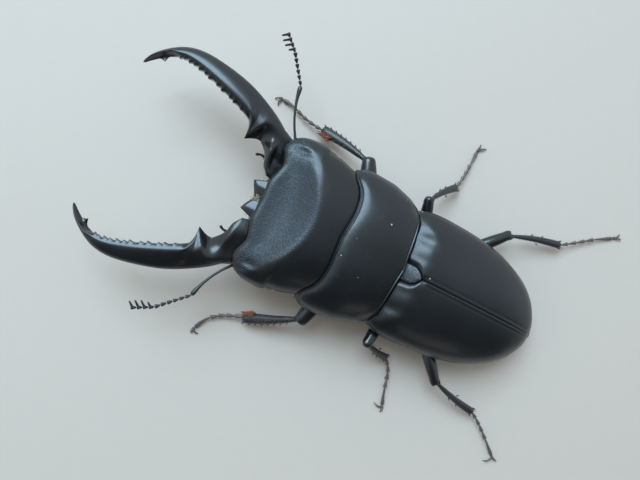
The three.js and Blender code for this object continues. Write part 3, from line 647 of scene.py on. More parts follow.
def hair_material(name, root, tip):
    """Setae: darker or redder at the root, paler at the tip."""
    material, tree, shader, where = new_material(name)
    along = add_node(tree, "ShaderNodeAttribute", attribute_name="along").outputs["Fac"]
    strand = add_node(tree, "ShaderNodeTexNoise",
                      {"Vector": where, "Scale": STRANDS_PER_METRE}).outputs["Fac"]
    shade = math_node(tree, "ADD", along, math_node(tree, "SUBTRACT", strand, 0.5))
    tree.links.new(mix(tree, ramp(tree, shade, 0.1, 0.9), colour(root), colour(tip)),
                   shader.inputs["Base Color"])
    tree.links.new(ramp(tree, strand, 0.3, 0.7, HAIR_ROUGHNESS, HAIR_ROUGHNESS * 1.3),
                   shader.inputs["Roughness"])
    return material


# Each shell's two tones and roughness, its punctures per metre with their radius and depth, its
# grain, and the height of it all as a share of the depth that the settings give.
SHELLS = {
    "head_shell": ("shell", "shell_light", 0.33, 3400, 0.3, 0.5, 0.3, 1),
    "jaw_shell": ("shell", "shell_light", 0.3, 3000, 0.2, 0.3, 0.25, 1),
    "thigh_shell": ("shell", "limb", 0.24, 2400, 0.25, 0.4, 0.2, 1),
    "shin_shell": ("limb", "limb_light", 0.4, 3600, 0.34, 0.8, 0.4, 1.3),
    "foot_shell": ("foot", "foot_light", 0.42, 4200, 0.3, 0.6, 0.4, 1),
    "belly_shell": ("shell", "foot", 0.32, 2400, 0.3, 0.7, 0.3, 1.2),
    "eye_facets": ("eye", "eye", 0.16, 9000, 0.75, 1.2, 0.0, 0.5),
}
COATS = {"jaw_shell": 0.3, "thigh_shell": 0.4, "eye_facets": 0.6}
DUSTS = {"thigh_shell": 0.05, "shin_shell": 0.05, "foot_shell": 0.0, "belly_shell": 0.0,
         "eye_facets": 0.0}
HAIRS = {"brush_hair": ("brush", "brush_tip"), "gold_hair": ("hair", "hair_tip"),
         "dark_bristle": ("foot", "foot_light")}


def finish_of(name):
    """The finishes, each built the first time that a piece asks for it."""
    if name in bpy.data.materials:
        return bpy.data.materials[name]
    tones = bpy.context.scene.beetle_colours
    if name in HAIRS:
        return hair_material(name, *(getattr(tones, tone) for tone in HAIRS[name]))
    dark, light, *surface, depth = SHELLS[name]
    # Shells from head_shell get a painted bluish sheen on their granule tips.
    return shell_material(name, getattr(tones, dark), getattr(tones, light), *surface,
                          depth * bpy.context.scene.beetle_sizes.bump_height,
                          worn=tones.granule if name == "head_shell" else None,
                          coat=COATS.get(name, 0.2), dust=DUSTS.get(name, 0.6))


# ---------------------------------------------------------------- plates of the trunk


# The raised line along a margin and the groove behind it: places, width and the groove's depth.
BEAD_AT, BEAD_WIDTH, GROOVE_BEHIND, GROOVE_SHARE = 0.19, 0.15, 0.32, 0.6


def margin_bead(distance, height):
    """A raised line beside a margin with a fine groove behind it."""
    behind = distance - BEAD_AT
    groove = bump(behind - GROOVE_BEHIND, BEAD_WIDTH)
    return height * (bump(behind, BEAD_WIDTH) - GROOVE_SHARE * groove)


def bead_height():
    """Height of the raised line along the margins, in millimetres."""
    return bpy.context.scene.beetle_sizes.bead_height / MM


def with_features(top, along, across, features):
    """Add low swellings and hollows: a height, then a place and a width along and across."""
    for height, (place, length), (side, breadth) in features:
        top = top + height * bump(across - side, breadth) * bump(along - place, length)
    return top


# A groove and a ridge near each front corner of the head, measured from the trunk's own origin,
# and a wing case's shoulder with the hollows inside it, measured from the front margin.
HEAD_FEATURES = ((-0.2, (26.6, 1.2), (11.7, 0.6)), (0.14, (27.2, 1.6), (12.7, 0.5)))
SHOULDER_FEATURES = ((0.3, (2.5, 2.1), (9.9, 1.5)), (-0.22, (2, 2.2), (7.4, 1.1)),
                     (-0.1, (2.6, 1.8), (3.6, 1)))
HEAD_SQUARENESS, PRONOTUM_SQUARENESS, ELYTRA_SQUARENESS = 3, 2.8, 2.5
SLOPE_START = 19.6              # where the head's granular slope falls away from the crown


def head_crest(y, bend=0.045):
    """How far in front of its middle the head's crest lies."""
    return bend * y ** 2 * (1 - 0.15 * step(11, 4, y))


def head_shape(v, u, w):
    """A broad head: a domed crown, a front that slopes down and a rounded underside."""
    ends, sides = wall_swell(v, u, w, 0.16)
    v, u = crowd(v), np.sin(u * np.pi / 2)
    station = lerp(HEAD_BACK, HEAD_FRONT, v)
    y = u * head_half(station) + sides
    far = np.abs(y)
    rear, front = pronotum_front(far) - 0.25, head_front(far)
    x = lerp(rear, front, v) + ends
    top = lerp(HEAD_EDGE + RIM / 2, head_crown(x - head_crest(far, 0.024)),
               dome(u, HEAD_SQUARENESS))
    ahead = front - x
    corner = step(9, 4, far)
    top += 0.06 * bump(ahead - 1.2, 1.0)
    top -= 0.5 * np.exp(-ahead / lerp(0.3, 0.55, corner)) + 0.3 * bump(x - rear, 0.5)
    slope = x - head_crest(far) - SLOPE_START
    top += 0.1 * bump(slope, 1.2) - 0.12 * bump(slope - 4, 2.4) * (1 - corner)
    top = with_features(top, x, far, HEAD_FEATURES)
    bottom = lerp(HEAD_EDGE - RIM / 2, head_belly(x), dome(u, 2.6))
    bottom += 0.25 * bump(far - 5.6, 0.35) * step(17, 2, x)
    return x, y, lerp(top, bottom, w)


def head_rough(points):
    """1 on the granular front slope of the head, 0 on the smooth crown and the front rim."""
    x, y, z = points.T
    far = np.abs(y)
    slope = step(19.9, 2.4, x - head_crest(far))
    return slope * step(1.0, 0.9, head_front(far) - x) * step(-0.2, 0.8, z)


def drop_flakes(piece):
    """Delete the loose bits that a cut leaves beside a piece."""
    bpy.ops.object.mode_set(mode="EDIT")
    bpy.ops.mesh.select_all(action="DESELECT")
    bpy.ops.object.mode_set(mode="OBJECT")
    on_body = len(piece.data.vertices) // 3
    piece.data.vertices[on_body].select = True
    bpy.ops.object.mode_set(mode="EDIT")
    bpy.ops.mesh.select_mode(type="VERT")
    bpy.ops.mesh.select_linked()
    bpy.ops.mesh.select_all(action="INVERT")
    bpy.ops.mesh.delete(type="VERT")
    bpy.ops.object.mode_set(mode="OBJECT")


def cut_away(piece, centre, radii):
    """Take an oval hollow out of a piece."""
    bpy.ops.object.select_all(action="DESELECT")
    bpy.ops.mesh.primitive_uv_sphere_add(segments=32, ring_count=16, radius=1, location=centre,
                                         scale=radii)
    tool = bpy.context.object
    bpy.context.view_layer.objects.active = piece
    hollow = piece.modifiers.new("hollow", "BOOLEAN")
    hollow.object, hollow.operation = tool, "DIFFERENCE"
    bpy.ops.object.modifier_apply(modifier=hollow.name)
    bpy.data.objects.remove(tool)
    drop_flakes(piece)


def make_head():
    """The head, with hollows for the eyes and the feelers."""
    piece = slab("head_capsule", rows=112, columns=170)
    press(piece, head_shape)
    for centre, radii in ((EYE_CENTRE, EYE_RADII + EYE_ROOM), (FEELER_ROOT, FEELER_SOCKET)):
        cut_away(piece, centre, radii)
        cut_away(piece, across_from(centre), radii)
    finish_piece(piece, ["head"], finish_of("head_shell"), TRUNK, rough=head_rough)


CLYPEUS_FRONT = np.array([(0, 31.05), (0.3, 31.15), (0.7, 31.7), (1.9, 32.4),
                          (CLYPEUS_TOOTH, 32.85), (3.25, 32.1), (3.55, 31.2), (3.8, 30.5),
                          (CLYPEUS_HALF, 29.7)])


def clypeus_shape(v, u, w):
    """Two pointed teeth beside a notch: the grid is drawn so that a column meets each tip."""
    y = np.interp(np.abs(u), (0, 0.75, 1), (0, CLYPEUS_TOOTH, CLYPEUS_HALF)) * np.sign(u)
    far = np.abs(y)
    front = np.interp(far, *CLYPEUS_FRONT.T)
    x = lerp(CLYPEUS_BACK, front, 1 - (1 - v) ** 1.5)
    ahead = front - x
    top = lerp(1.05, 0.1, (x - CLYPEUS_BACK) / 3.4) + 0.14 * bump(far - 2.3, 0.8)
    top -= 0.3 * np.exp(-ahead / 0.22) + 0.3 * bump(y, 0.7)
    thick = 0.3 + 1.0 * (1 - np.exp(-ahead / 0.8))
    return x, y, top - w * thick


def make_clypeus():
    """The toothed plate in front of the head."""
    piece = slab("clypeus_teeth", rows=24, columns=64)
    press(piece, clypeus_shape)
    finish_piece(piece, ["clypeus"], finish_of("jaw_shell"), TRUNK, levels=1)


MENTUM_PLACE, MENTUM_SIZE, MENTUM_TAPER = (26.75, 0, -4.65), (6.5, 9.2, 1.3), 0.83


def make_mentum():
    """The chin plate: a bevelled block, narrower in front, with a raised rim."""
    piece = start_piece("chin_plate")
    bpy.ops.mesh.primitive_cube_add(size=1, location=MENTUM_PLACE, scale=MENTUM_SIZE)
    mesh = bmesh.from_edit_mesh(piece.data)
    for v in mesh.verts:
        if v.co.x > MENTUM_PLACE[0]:
            v.co.y *= MENTUM_TAPER
    lower = [f for f in mesh.faces if f.normal.z < -0.5]
    bpy.ops.mesh.select_all(action="DESELECT")
    bpy.context.tool_settings.mesh_select_mode = (False, False, True)
    for face in lower:
        face.select = True
    bmesh.update_edit_mesh(piece.data)
    bpy.ops.mesh.inset(thickness=0.5, depth=-0.15)
    bpy.ops.mesh.inset(thickness=0.8, depth=0.2)
    bpy.context.tool_settings.mesh_select_mode = (True, False, False)
    bpy.ops.mesh.select_all(action="SELECT")
    bpy.ops.mesh.bevel(offset=0.28, segments=3, affect="EDGES")
    finish_piece(piece, ["mentum"], finish_of("belly_shell"), TRUNK, levels=1)


def make_eyes():
    """Bulging oval eyes."""
    left = start_piece("eye_left_lens")
    bpy.ops.mesh.primitive_uv_sphere_add(segments=40, ring_count=24, radius=1,
                                         location=EYE_CENTRE, scale=EYE_RADII)
    bpy.ops.object.mode_set(mode="OBJECT")
    right = mirror_copy(left, "eye_right_lens")
    for piece, node in ((left, "eye_left"), (right, "eye_right")):
        finish_piece(piece, [node], finish_of("eye_facets"), TRUNK)


def pronotum_shape(v, u, w):
    """The shield behind the head, beaded along its margins."""
    ends, sides = wall_swell(v, u, w, 0.14)
    v, u = crowd(v), np.sin(u * np.pi / 2)
    half = pronotum_half(lerp(PRONOTUM_BACK, PRONOTUM_FRONT, v))
    y = u * half + sides
    far = np.abs(y)
    rear, front = pronotum_rear(far), pronotum_front(far)
    x = lerp(rear, front, v) + ends
    top = lerp(PRONOTUM_EDGE + RIM / 2, pronotum_crown(x), dome(u, PRONOTUM_SQUARENESS))
    edge = half - far
    bead = bead_height()
    top += margin_bead(front - x, bead * 1.2) + margin_bead(x - rear, bead)
    top += 0.4 * margin_bead(edge, bead) * step(0.05, 0.1, edge)
    top -= 0.3 * bump(front - x, 0.1) + 0.3 * bump(x - rear, 0.1)
    droop = lerp(0.4, 0.7, step(4, 6, far)) * np.exp(-(front - x) / 0.9)
    top -= droop + 0.22 * np.exp(-(x - rear) / 0.7)
    bottom = PRONOTUM_EDGE - RIM / 2 + 1.3 * (1 - u * u)
    return x, y, lerp(top, bottom, w)


def pronotum_rough(points):
    """Slightly granular near the front margin and at the sides."""
    x, y, _ = points.T
    far = np.abs(y)
    return 0.12 * bump(pronotum_front(far) - x - 1, 1.2) + 0.1 * step(12, 2, far)


def make_pronotum():
    """The shield behind the head."""
    piece = slab("pronotum_shield", rows=110, columns=150)
    press(piece, pronotum_shape)
    finish_piece(piece, ["pronotum"], finish_of("head_shell"), TRUNK,
                 rough=pronotum_rough)


def belly_share(u):
    """1 at the middle of the belly, 0 at its sides."""
    return 1 - np.abs(u) ** 1.5


def prosternum_shape(v, u, w):
    """The breast under the pronotum: a keel between the hollow seats of the fore hips."""
    ends, sides = wall_swell(v, u, w, 0.1)
    half = pronotum_half(lerp(PRONOTUM_BACK, PRONOTUM_FRONT, v)) - BELLY_INSET
    y = u * half + sides
    far = np.abs(y)
    x = lerp(pronotum_rear(far) + 0.2, pronotum_front(far) - 0.2, v) + ends
    roof = PRONOTUM_EDGE - RIM / 2 + 1.3 * (1 - u * u) - GAP
    belly = lerp(PRONOTUM_EDGE - RIM / 2 - GAP - 0.6, prosternum_belly(x), belly_share(u))
    seat = HIPS["fore"]["coxa"]
    belly += 0.9 * bump(x - seat[0], 2.1) * bump(far - seat[1] - 0.6, 2.9)
    belly -= 0.55 * bump(y, 0.7) * step(5.5, 2, x) * (1 - step(13, 1.5, x))
    belly += 0.18 * bump(far - 7.6 - 0.25 * (x - 8), 0.3)
    return x, y, lerp(roof, belly, w)


def make_prosternum():
    """The fore breast."""
    piece = slab("fore_breast", rows=60, columns=90)
    press(piece, prosternum_shape)
    finish_piece(piece, ["prosternum"], finish_of("belly_shell"), TRUNK)


LINING_SHARE = 0.45             # height of the wing cases' inner side, as a share of the crown's


def elytra_lining(x, share):
    """The inner side of the wing cases."""
    return lerp(elytra_edge(x) - RIM / 2, elytra_crown(x) * LINING_SHARE,
                dome(share, ELYTRA_SQUARENESS))


def elytra_inner(x):
    """The wing case's inner margin: along the middle of the back, then beside the scutellum."""
    beside = scutellum_half(x) + 0.06
    return lerp(SUTURE, beside, step(SCUTELLUM_TIP - 0.1, 0.35, x))


def elytron_shape(v, u, w):
    """The left wing case, with its shoulder, its beaded side and its sunken inner front corner."""
    ends, sides = wall_swell(v, u, w, 0.05)
    v = lerp(v, 1 - (1 - v) ** 2, 0.15) * (1 - bump(v, 0.08) * 0.5)
    station = lerp(ELYTRA_END, ELYTRA_FRONT, v)
    half = elytra_half(station)
    share = lerp(elytra_inner(station) / half, 1, np.sin((u + 1) * np.pi / 4))
    y = share * half + np.where(u > 0, sides, 0)
    rear = pronotum_rear(y) - SEAM
    x = lerp(ELYTRA_END, rear, v) + ends
    top = lerp(elytra_edge(x) + RIM / 2, elytra_crown(x), dome(share, ELYTRA_SQUARENESS))
    edge = half - y
    top += 0.6 * margin_bead(edge, bead_height()) * step(0.05, 0.1, edge)
    top += (0.03 * bump(y - 0.35, 0.2) - 0.03 * bump(y - 0.75, 0.22)) * step(-33, 2, x)
    within = y - elytra_inner(x)
    top -= 0.06 * bump(within, 0.07) + 0.42 * bump(within, 0.5) * step(-4.9, 1.4, x)
    base = rear - x
    top -= 0.4 * bump(base, 0.2)
    top = with_features(top, base, y, SHOULDER_FEATURES)
    bottom = elytra_lining(x, share)
    return x, y, lerp(top, bottom, w)


def elytron_rough(points):
    """Slightly granular at the shoulder, along the front margin and at the side."""
    x, y, _ = points.T
    base = pronotum_rear(y) - SEAM - x
    return (0.12 + 0.5 * bump(y - 10, 1.6)) * bump(base - 0.6, 1.3) + 0.12 * step(12.2, 1.6, y)


def make_elytra():
    """Both wing cases."""
    left = slab("wing_case_left", rows=170, columns=84)
    press(left, elytron_shape)
    right = mirror_copy(left, "wing_case_right")
    for piece, node in ((left, "elytron_left"), (right, "elytron_right")):
        finish_piece(piece, [node], finish_of("head_shell"), TRUNK, rough=elytron_rough)


def scutellum_shape(v, u, w):
    """The small plate between the wing cases: tilted, low at its sides."""
    ends, sides = wall_swell(v, u, w, 0.05)
    station = lerp(SCUTELLUM_TIP, SCUTELLUM_BASE, v)
    x = station + ends
    y = u * scutellum_half(station) + sides
    top = elytra_crown(x) - 0.05 - 0.09 * (x + 2.2) - 0.12 * u * u
    top -= 0.2 * bump(1 - np.abs(u), 0.1)
    return x, y, lerp(top, elytra_crown(x) * LINING_SHARE + 0.4, w)


def make_scutellum():
    """The scutellum."""
    piece = slab("scutellum_plate", rows=40, columns=36)
    press(piece, scutellum_shape)
    finish_piece(piece, ["scutellum"], finish_of("head_shell"), TRUNK,
                 rough=lambda points: np.full(len(points), 0.5))


def under_top(x, u):
    """The upper side of the body, below the wing cases."""
    return elytra_lining(x, u) - GAP


def body_half(x):
    """Half the width of the body below the wing cases."""
    return elytra_half(np.minimum(x, ELYTRA_FRONT)) - BELLY_INSET


def thorax_shape(v, u, w):
    """The hind breast: hollow seats for four hips, and a groove in the middle and each side."""
    ends, sides = wall_swell(v, u, w, 0.1)
    y = u * body_half(lerp(THORAX_BACK, THORAX_FRONT, v)) + sides
    far = np.abs(y)
    x = lerp(THORAX_BACK, pronotum_rear(far) - GAP - 0.3, v) + ends
    belly = lerp(under_top(x, 1) - 0.5, thorax_belly(x), belly_share(u))
    for pair in ("mid", "hind"):
        seat = HIPS[pair]["coxa"]
        belly += 0.8 * bump(x - seat[0], 1.7) * bump(far - seat[1] - 0.4, 2.7)
    belly += 0.22 * bump(y, 0.22) * step(-11, 1.5, x) * (1 - step(-6, 1, x))
    belly += 0.2 * bump(far - 9.4 - 0.12 * (x + 8), 0.25)
    return x, y, lerp(under_top(x, u), belly, w)


def make_hind_thorax():
    """The hind breast."""
    piece = slab("hind_breast", rows=70, columns=90)
    press(piece, thorax_shape)
    finish_piece(piece, ["hind_thorax"], finish_of("belly_shell"), TRUNK)


BELLY_RINGS = 5


def abdomen_shape(v, u, w):
    """The belly: a row of plates with a groove between each two."""
    ends, sides = wall_swell(v, u, w, 0.08)
    y = u * np.maximum(body_half(lerp(ABDOMEN_BACK, ABDOMEN_FRONT, v)), 0.5) + sides
    x = lerp(ABDOMEN_BACK, ABDOMEN_FRONT, v) + ends
    belly = lerp(under_top(x, 1) - 0.5, abdomen_belly(x), belly_share(u))
    place = BELLY_RINGS * v + 0.12 * u ** 2
    ridge = place - np.floor(place)
    inner = step(0.3, 0.3, place) * (1 - step(BELLY_RINGS - 0.15, 0.1, place))
    belly += inner * (0.3 * bump(ridge - 1, 0.05) + 0.3 * bump(ridge, 0.05) - 0.14 * ridge)
    return x, y, lerp(under_top(x, u), belly, w)


def make_abdomen():
    """The belly plates."""
    piece = slab("belly_plates", rows=150, columns=70)
    press(piece, abdomen_shape)
    finish_piece(piece, ["abdomen"], finish_of("belly_shell"), TRUNK)


# ---------------------------------------------------------------- jaws

JAW_INNER = bent(np.linspace(0, 1, 10), [
    (31.4, 4.5), (33.3, 8.3), (35.82, 10.92), (39.34, 13.25), (44.33, 15.42), (49.49, 17.33),
    (53.67, 18.23), (56.56, 17.35), (58.83, 15.62), (60.14, 14.37)])
JAW_OUTER = bent(np.linspace(0, 1, 10), [
    (31.5, 14.2), (33.7, 15.81), (37.02, 17.63), (41.05, 19.33), (45.74, 20.46), (50.5, 21.03),
    (54.48, 20.32), (57.48, 18.43), (59.44, 16.44), (60.45, 14.52)])
JAW_MIDDLE = through((0, -0.7), (0.2, -0.74), (0.4, -1.08), (0.6, -1.92), (0.8, -2.71), (1, -3))
JAW_RISE = through((0, 1.6), (0.1, 2.1), (0.3, 2.4), (0.6, 1.85), (0.85, 1.25), (0.97, 0.6),
                   (1, 0.15))
JAW_DEPTH = through((0, 2.6), (0.3, 2.3), (0.6, 1.7), (0.85, 1.1), (0.97, 0.5), (1, 0.2))

# The dorsal ridge, as a share of the width from the inner keel, how hollow the face inside it is,
# and how high the keel stands.
JAW_RIDGE = through((0, 0.9), (0.1, 0.74), (0.18, 0.46), (0.228, 0.16), (0.254, 0.06),
                    (0.28, 0.12), (0.34, 0.16), (0.5, 0.16), (0.7, 0.2), (0.755, 0.46),
                    (0.86, 0.55), (1, 0.5))
JAW_HOLLOW = through((0, 0.8), (0.1, 1), (0.2, 1.4), (0.3, 1.1), (0.7, 1), (0.755, 1.9),
                     (0.95, 1.5), (1, 1))
JAW_KEEL = through((0, 0.5), (0.08, 0.4), (0.2, 0), (0.27, 0), (0.34, 0.75), (0.68, 0.8),
                   (0.745, 0), (1, 0))
JAW_STATIONS = 330

# Places around a ring, as shares of its width: over the top, then back along the underside.
JAW_UPPER = np.array((0, 0.02, 0.05, 0.09, 0.14, 0.2, 0.27, 0.35, 0.43, 0.52, 0.61, 0.7, 0.79,
                      0.87, 0.94, 0.985, 1))
JAW_LOWER = np.array((0.97, 0.86, 0.7, 0.54, 0.38, 0.23, 0.1, 0.03))

# Teeth on the inner keel: place along the jaw, reach, half width, lean forward, how thick.
JAW_TEETH = [(0.254, 2.75, 2.3, -0.17, 0.2), (0.805, 1.0, 1.0, 0.1, 0.16)]
DENTICLE_PLACES = (0.366, 0.402, 0.424, 0.46, 0.486, 0.524, 0.547, 0.575, 0.606, 0.631, 0.666,
                   0.69)
DENTICLE_SIZES = (0.6, 0.9, 0.7, 1.15, 0.8, 1.2, 0.75, 1.1, 0.9, 1.25, 0.85, 1.1)

DENTICLE_LEAN, DENTICLE_THICK = 0.45, 0.07

# The lobe at the jaw's root: its raised rim, and on each side the rim's height, and the basin
# between it and the head with its centre, its radii and its depth.
LOBE_RIM = np.array([(30.4, 3.9), (31.6, 5.6), (32.3, 7.4), (32.6, 9.3)])
LOBE_BASINS = {"left": ((31, 9), (0.35, 1.1), 0.5), "right": ((30.95, 7.8), (0.8, 2.1), 1.5)}
LOBE_LIFT = {"left": 0.3, "right": 1.4}
LOBE_BULGE = np.array((0.4, -0.25))
SWELLING = ((31.2, 7.4), (1.8, 3), 0.7)       # of the left lobe: centre, radii, height
NECK_SIDES, NECK_SHARES = (4.1, 13.2), (0, 0.15, 0.3, 0.6, 0.85)
NECK_DIVE = {"left": 0.3, "right": 1}


def rim_distance(x, y):
    """How far points lie from the rim of the jaw's basal lobe."""
    far = np.full(x.shape, 99.0)
    for (ax, ay), (bx, by) in zip(LOBE_RIM, LOBE_RIM[1:]):
        span = (bx - ax) ** 2 + (by - ay) ** 2
        t = np.clip(((x - ax) * (bx - ax) + (y - ay) * (by - ay)) / span, 0, 1)
        far = np.minimum(far, np.hypot(x - lerp(ax, bx, t), y - lerp(ay, by, t)))
    return far


def oval_bump(x, y, centre, radii):
    """A rounded oval swelling."""
    return bump(np.hypot((x - centre[0]) / radii[0], (y - centre[1]) / radii[1]), 1)


def lesser(a, b, sharpness=9):
    """The lesser of two heights, rounded where they meet."""
    return -np.log(np.exp(-sharpness * np.minimum(a, 3)) + np.exp(-sharpness * b)) / sharpness


def jaw_relief(s, p, upper):
    """The jaw's skin above its middle: a face inside the dorsal ridge, and a flank outside it."""
    ridge = JAW_RIDGE(s)
    face = lerp(JAW_KEEL(s), 1, (p / ridge) ** JAW_HOLLOW(s))
    q = np.clip((p - ridge) / (1 - ridge), 0, 1)
    rise = lesser(face, dome(q, 2.6) * (1 - 0.22 * q))
    return rise, np.where(upper, JAW_RISE(s) * rise, -JAW_DEPTH(s) * dome(2 * p - 1, 2.2))


def add_teeth(flat, z, stops, share, along, inward, travelled):
    """Pull the inner keel out into the large teeth and the row of small ones between them."""
    for at, reach, half, lean, thick in JAW_TEETH:
        apart = (travelled - np.interp(at, stops, travelled)) / half
        form = np.maximum(1 - np.abs(apart), 0) ** 1.5
        pull = np.exp(-(share / thick) ** 2)
        way = inward + lean * along
        flat += (form[:, None, None] * pull[None, :, None]) * reach * way[:, None, :]
        level = JAW_MIDDLE(at) + 0.3 * JAW_RISE(at)
        z = lerp(z, level, form[:, None] * pull * 0.92)
    size = bpy.context.scene.beetle_sizes.denticle_reach / MM
    pull = np.exp(-(share / DENTICLE_THICK) ** 2)
    way = inward + DENTICLE_LEAN * along
    for at, big in zip(DENTICLE_PLACES, DENTICLE_SIZES):
        apart = (travelled - np.interp(at, stops, travelled)) / (0.62 * (0.7 + 0.35 * big))
        form = np.maximum(1 - np.where(apart > 0, 2.2 * apart, -apart), 0) ** 1.2
        flat += (form[:, None, None] * pull[None, :, None]) * size * big * way[:, None, :]
    return flat, z


def jaw_rings(side):
    """Rings along a jaw, modelled on the left, from its neck inside the head to its tip."""
    stops = np.linspace(0, 1, JAW_STATIONS)
    inner, outer = JAW_INNER(stops), JAW_OUTER(stops)
    inner = inner + bump(stops - 0.05, 0.035)[:, None] * LOBE_BULGE
    along = np.gradient(inner, axis=0)
    pace = np.linalg.norm(along, axis=1)
    along /= pace[:, None]
    inward = np.column_stack([along[:, 1], -along[:, 0]])
    share = np.r_[JAW_UPPER, JAW_LOWER]
    upper = np.arange(len(share)) < len(JAW_UPPER)
    point = (1 - 0.85 * step(0.99, 0.02, stops))[:, None, None]
    centre = (inner + outer)[:, None, :] / 2
    flat = inner[:, None, :] + (outer - inner)[:, None, :] * share[None, :, None]
    flat = centre + (flat - centre) * point
    s = stops[:, None]
    rise, high = jaw_relief(s, share[None, :], upper)
    flat, z = add_teeth(flat, JAW_MIDDLE(s) + high, stops, share, along, inward, np.cumsum(pace))
    x, y = flat[..., 0], flat[..., 1]
    above = upper * step(0.15, 0.2, JAW_RISE(s) * rise / 2 + 0.4)
    basin, radii, deep = LOBE_BASINS[side]
    z += LOBE_LIFT[side] * above * bump(rim_distance(x, y), 1.15)
    z -= deep * above * oval_bump(x, y, basin, radii)
    if side == "left":
        place, radii, tall = SWELLING
        z += tall * above * oval_bump(x, y, place, radii)
    rings = np.stack([x, y, z], axis=-1)
    root_y = lerp(*NECK_SIDES, share)
    root = np.column_stack([head_front(root_y) - 1.1, root_y, np.minimum(z[0] - 1, -0.2)])
    neck = [np.column_stack([lerp(root[:, :2], rings[0, :, :2], t),
                             lerp(root[:, 2], rings[0, :, 2], min(1, t / NECK_DIVE[side]))])
            for t in NECK_SHARES]
    return [*neck, *rings]


def make_jaws():
    """Both jaws, each turned a little outwards on its hinge."""
    for side, turn in (("left", JAW_TURN), ("right", -JAW_TURN)):
        piece = start_piece(f"jaw_{side}")
        extrude_rings(piece, jaw_rings(side))
        bpy.ops.object.mode_set(mode="OBJECT")
        hinge = Matrix.Translation(JAW_HINGE)
        piece.data.transform(hinge @ Matrix.Rotation(turn, 4, "Z") @ hinge.inverted())
        if side == "right":
            piece.data.transform(OTHER_SIDE)
        finish_piece(piece, [f"mandible_{side}"], finish_of("jaw_shell"), TRUNK, levels=1)


# ---------------------------------------------------------------- feelers and palps


FEELER_STALK = ((0, 0.1), (0.01, 0.7), (0.04, 0.85), (0.1, 0.6), (0.2, 0.5), (0.45, 0.5),
                (0.7, 0.58), (0.82, 0.72), (0.92, 1.05), (0.98, 0.95), (1, 0.3))
FEELER_BEAD = ((0, 0.16), (0.05, 0.36), (0.3, 0.5), (0.62, 0.82), (0.85, 0.9), (0.97, 0.6),
               (1, 0.2))
CLUB_JOINT = ((0, 0.16), (0.06, 0.42), (0.4, 0.62), (0.75, 0.9), (0.95, 0.62), (1, 0.2))
CLUB_LEAF = ((0, 0.5, 0.7), (0.2, 0.5, 0.85), (0.45, 0.42, 1), (0.7, 0.4, 1.05),
             (0.88, 0.34, 0.9), (0.97, 0.22, 0.55), (1, 0.06, 0.12))
FEELER_BEADS, BEAD_GROWTH = 6, 0.03
LEAF_REACHES, LEAF_WAY = 1.55 * np.array((0.7, 0.95, 1.0, 0.9)), (0.75, -0.66, 0)
PALP_JOINT = ((0, 0.5), (0.06, 0.75), (0.35, 0.85), (0.7, 1), (0.92, 0.9), (1, 0.5))
PALP_PATH = ((30.9, 5.4, -4.4), (31.9, 7.3, -4.7), (32.8, 8.2, -4.5), (33.6, 8.3, -4.1),
             (34.6, 7.8, -3.5))
PALP_WIDTHS = (0.62, 0.64, 0.64, 0.62)
BEND_STOPS = (0, 0.25, 0.5, 0.75, 1)  # shares of a bent limb's length where its path is set


def make_feelers():
    """Both feelers: a long stalk to the elbow, six beads and a club of four leaves."""
    for side, joints in FEELERS.items():
        sign = 1 if side == "left" else -1
        root = np.array(FEELER_ROOT) * (1, sign, 1)
        elbow, bend, end = (np.array(p) for p in joints)
        sideways = np.cross(elbow - root, UP)
        sideways = sideways / np.linalg.norm(sideways) * sign
        stalk = start_piece(f"feeler_stalk_{side}")
        path = [lerp(root, elbow, t) + sideways * 0.8 * math.sin(t * math.pi) for t in BEND_STOPS]
        extrude_limb(stalk, route(path), FEELER_STALK)
        finish_piece(stalk, [f"antenna_scape_{side}"], finish_of("shin_shell"),
                     TRUNK, levels=1)
        beads = start_piece(f"feeler_beads_{side}")
        for i in range(FEELER_BEADS):
            ends = [lerp(elbow, bend, (i + t) / FEELER_BEADS) for t in (0.02, 0.94)]
            extrude_limb(beads, route(ends), FEELER_BEAD, 0.9 + BEAD_GROWTH * i)
        finish_piece(beads, [f"antenna_funicle_{side}"], finish_of("shin_shell"),
                     TRUNK, levels=1)
        club = start_piece(f"feeler_club_{side}")
        leafward = np.array(LEAF_WAY) * (1, sign, 1)
        for i, reach in enumerate(LEAF_REACHES):
            a, b = (lerp(bend, end, (i + t) / len(LEAF_REACHES)) for t in (0.02, 0.96))
            extrude_limb(club, route((a, b)), CLUB_JOINT)
            foot = lerp(a, b, 0.62)
            tip = foot + leafward * reach + (end - bend) * 0.02
            extrude_limb(club, route((foot, lerp(foot, tip, 0.5), tip)), CLUB_LEAF, sides=8)
        finish_piece(club, [f"antenna_club_{side}"], finish_of("shin_shell"),
                     TRUNK, levels=1)


def make_palps():
    """The jointed palps below the jaws."""
    left = start_piece("jaw_palp_left")
    joints = np.array(PALP_PATH)
    for a, b, width in zip(joints, joints[1:], PALP_WIDTHS):
        extrude_limb(left, route((a, lerp(a, b, 0.5), b)), PALP_JOINT, width)
    bpy.ops.object.mode_set(mode="OBJECT")
    right = mirror_copy(left, "jaw_palp_right")
    for piece, side in ((left, "left"), (right, "right")):
        finish_piece(piece, [f"palp_{side}"], finish_of("shin_shell"), TRUNK,
                     levels=1)


# ---------------------------------------------------------------- legs

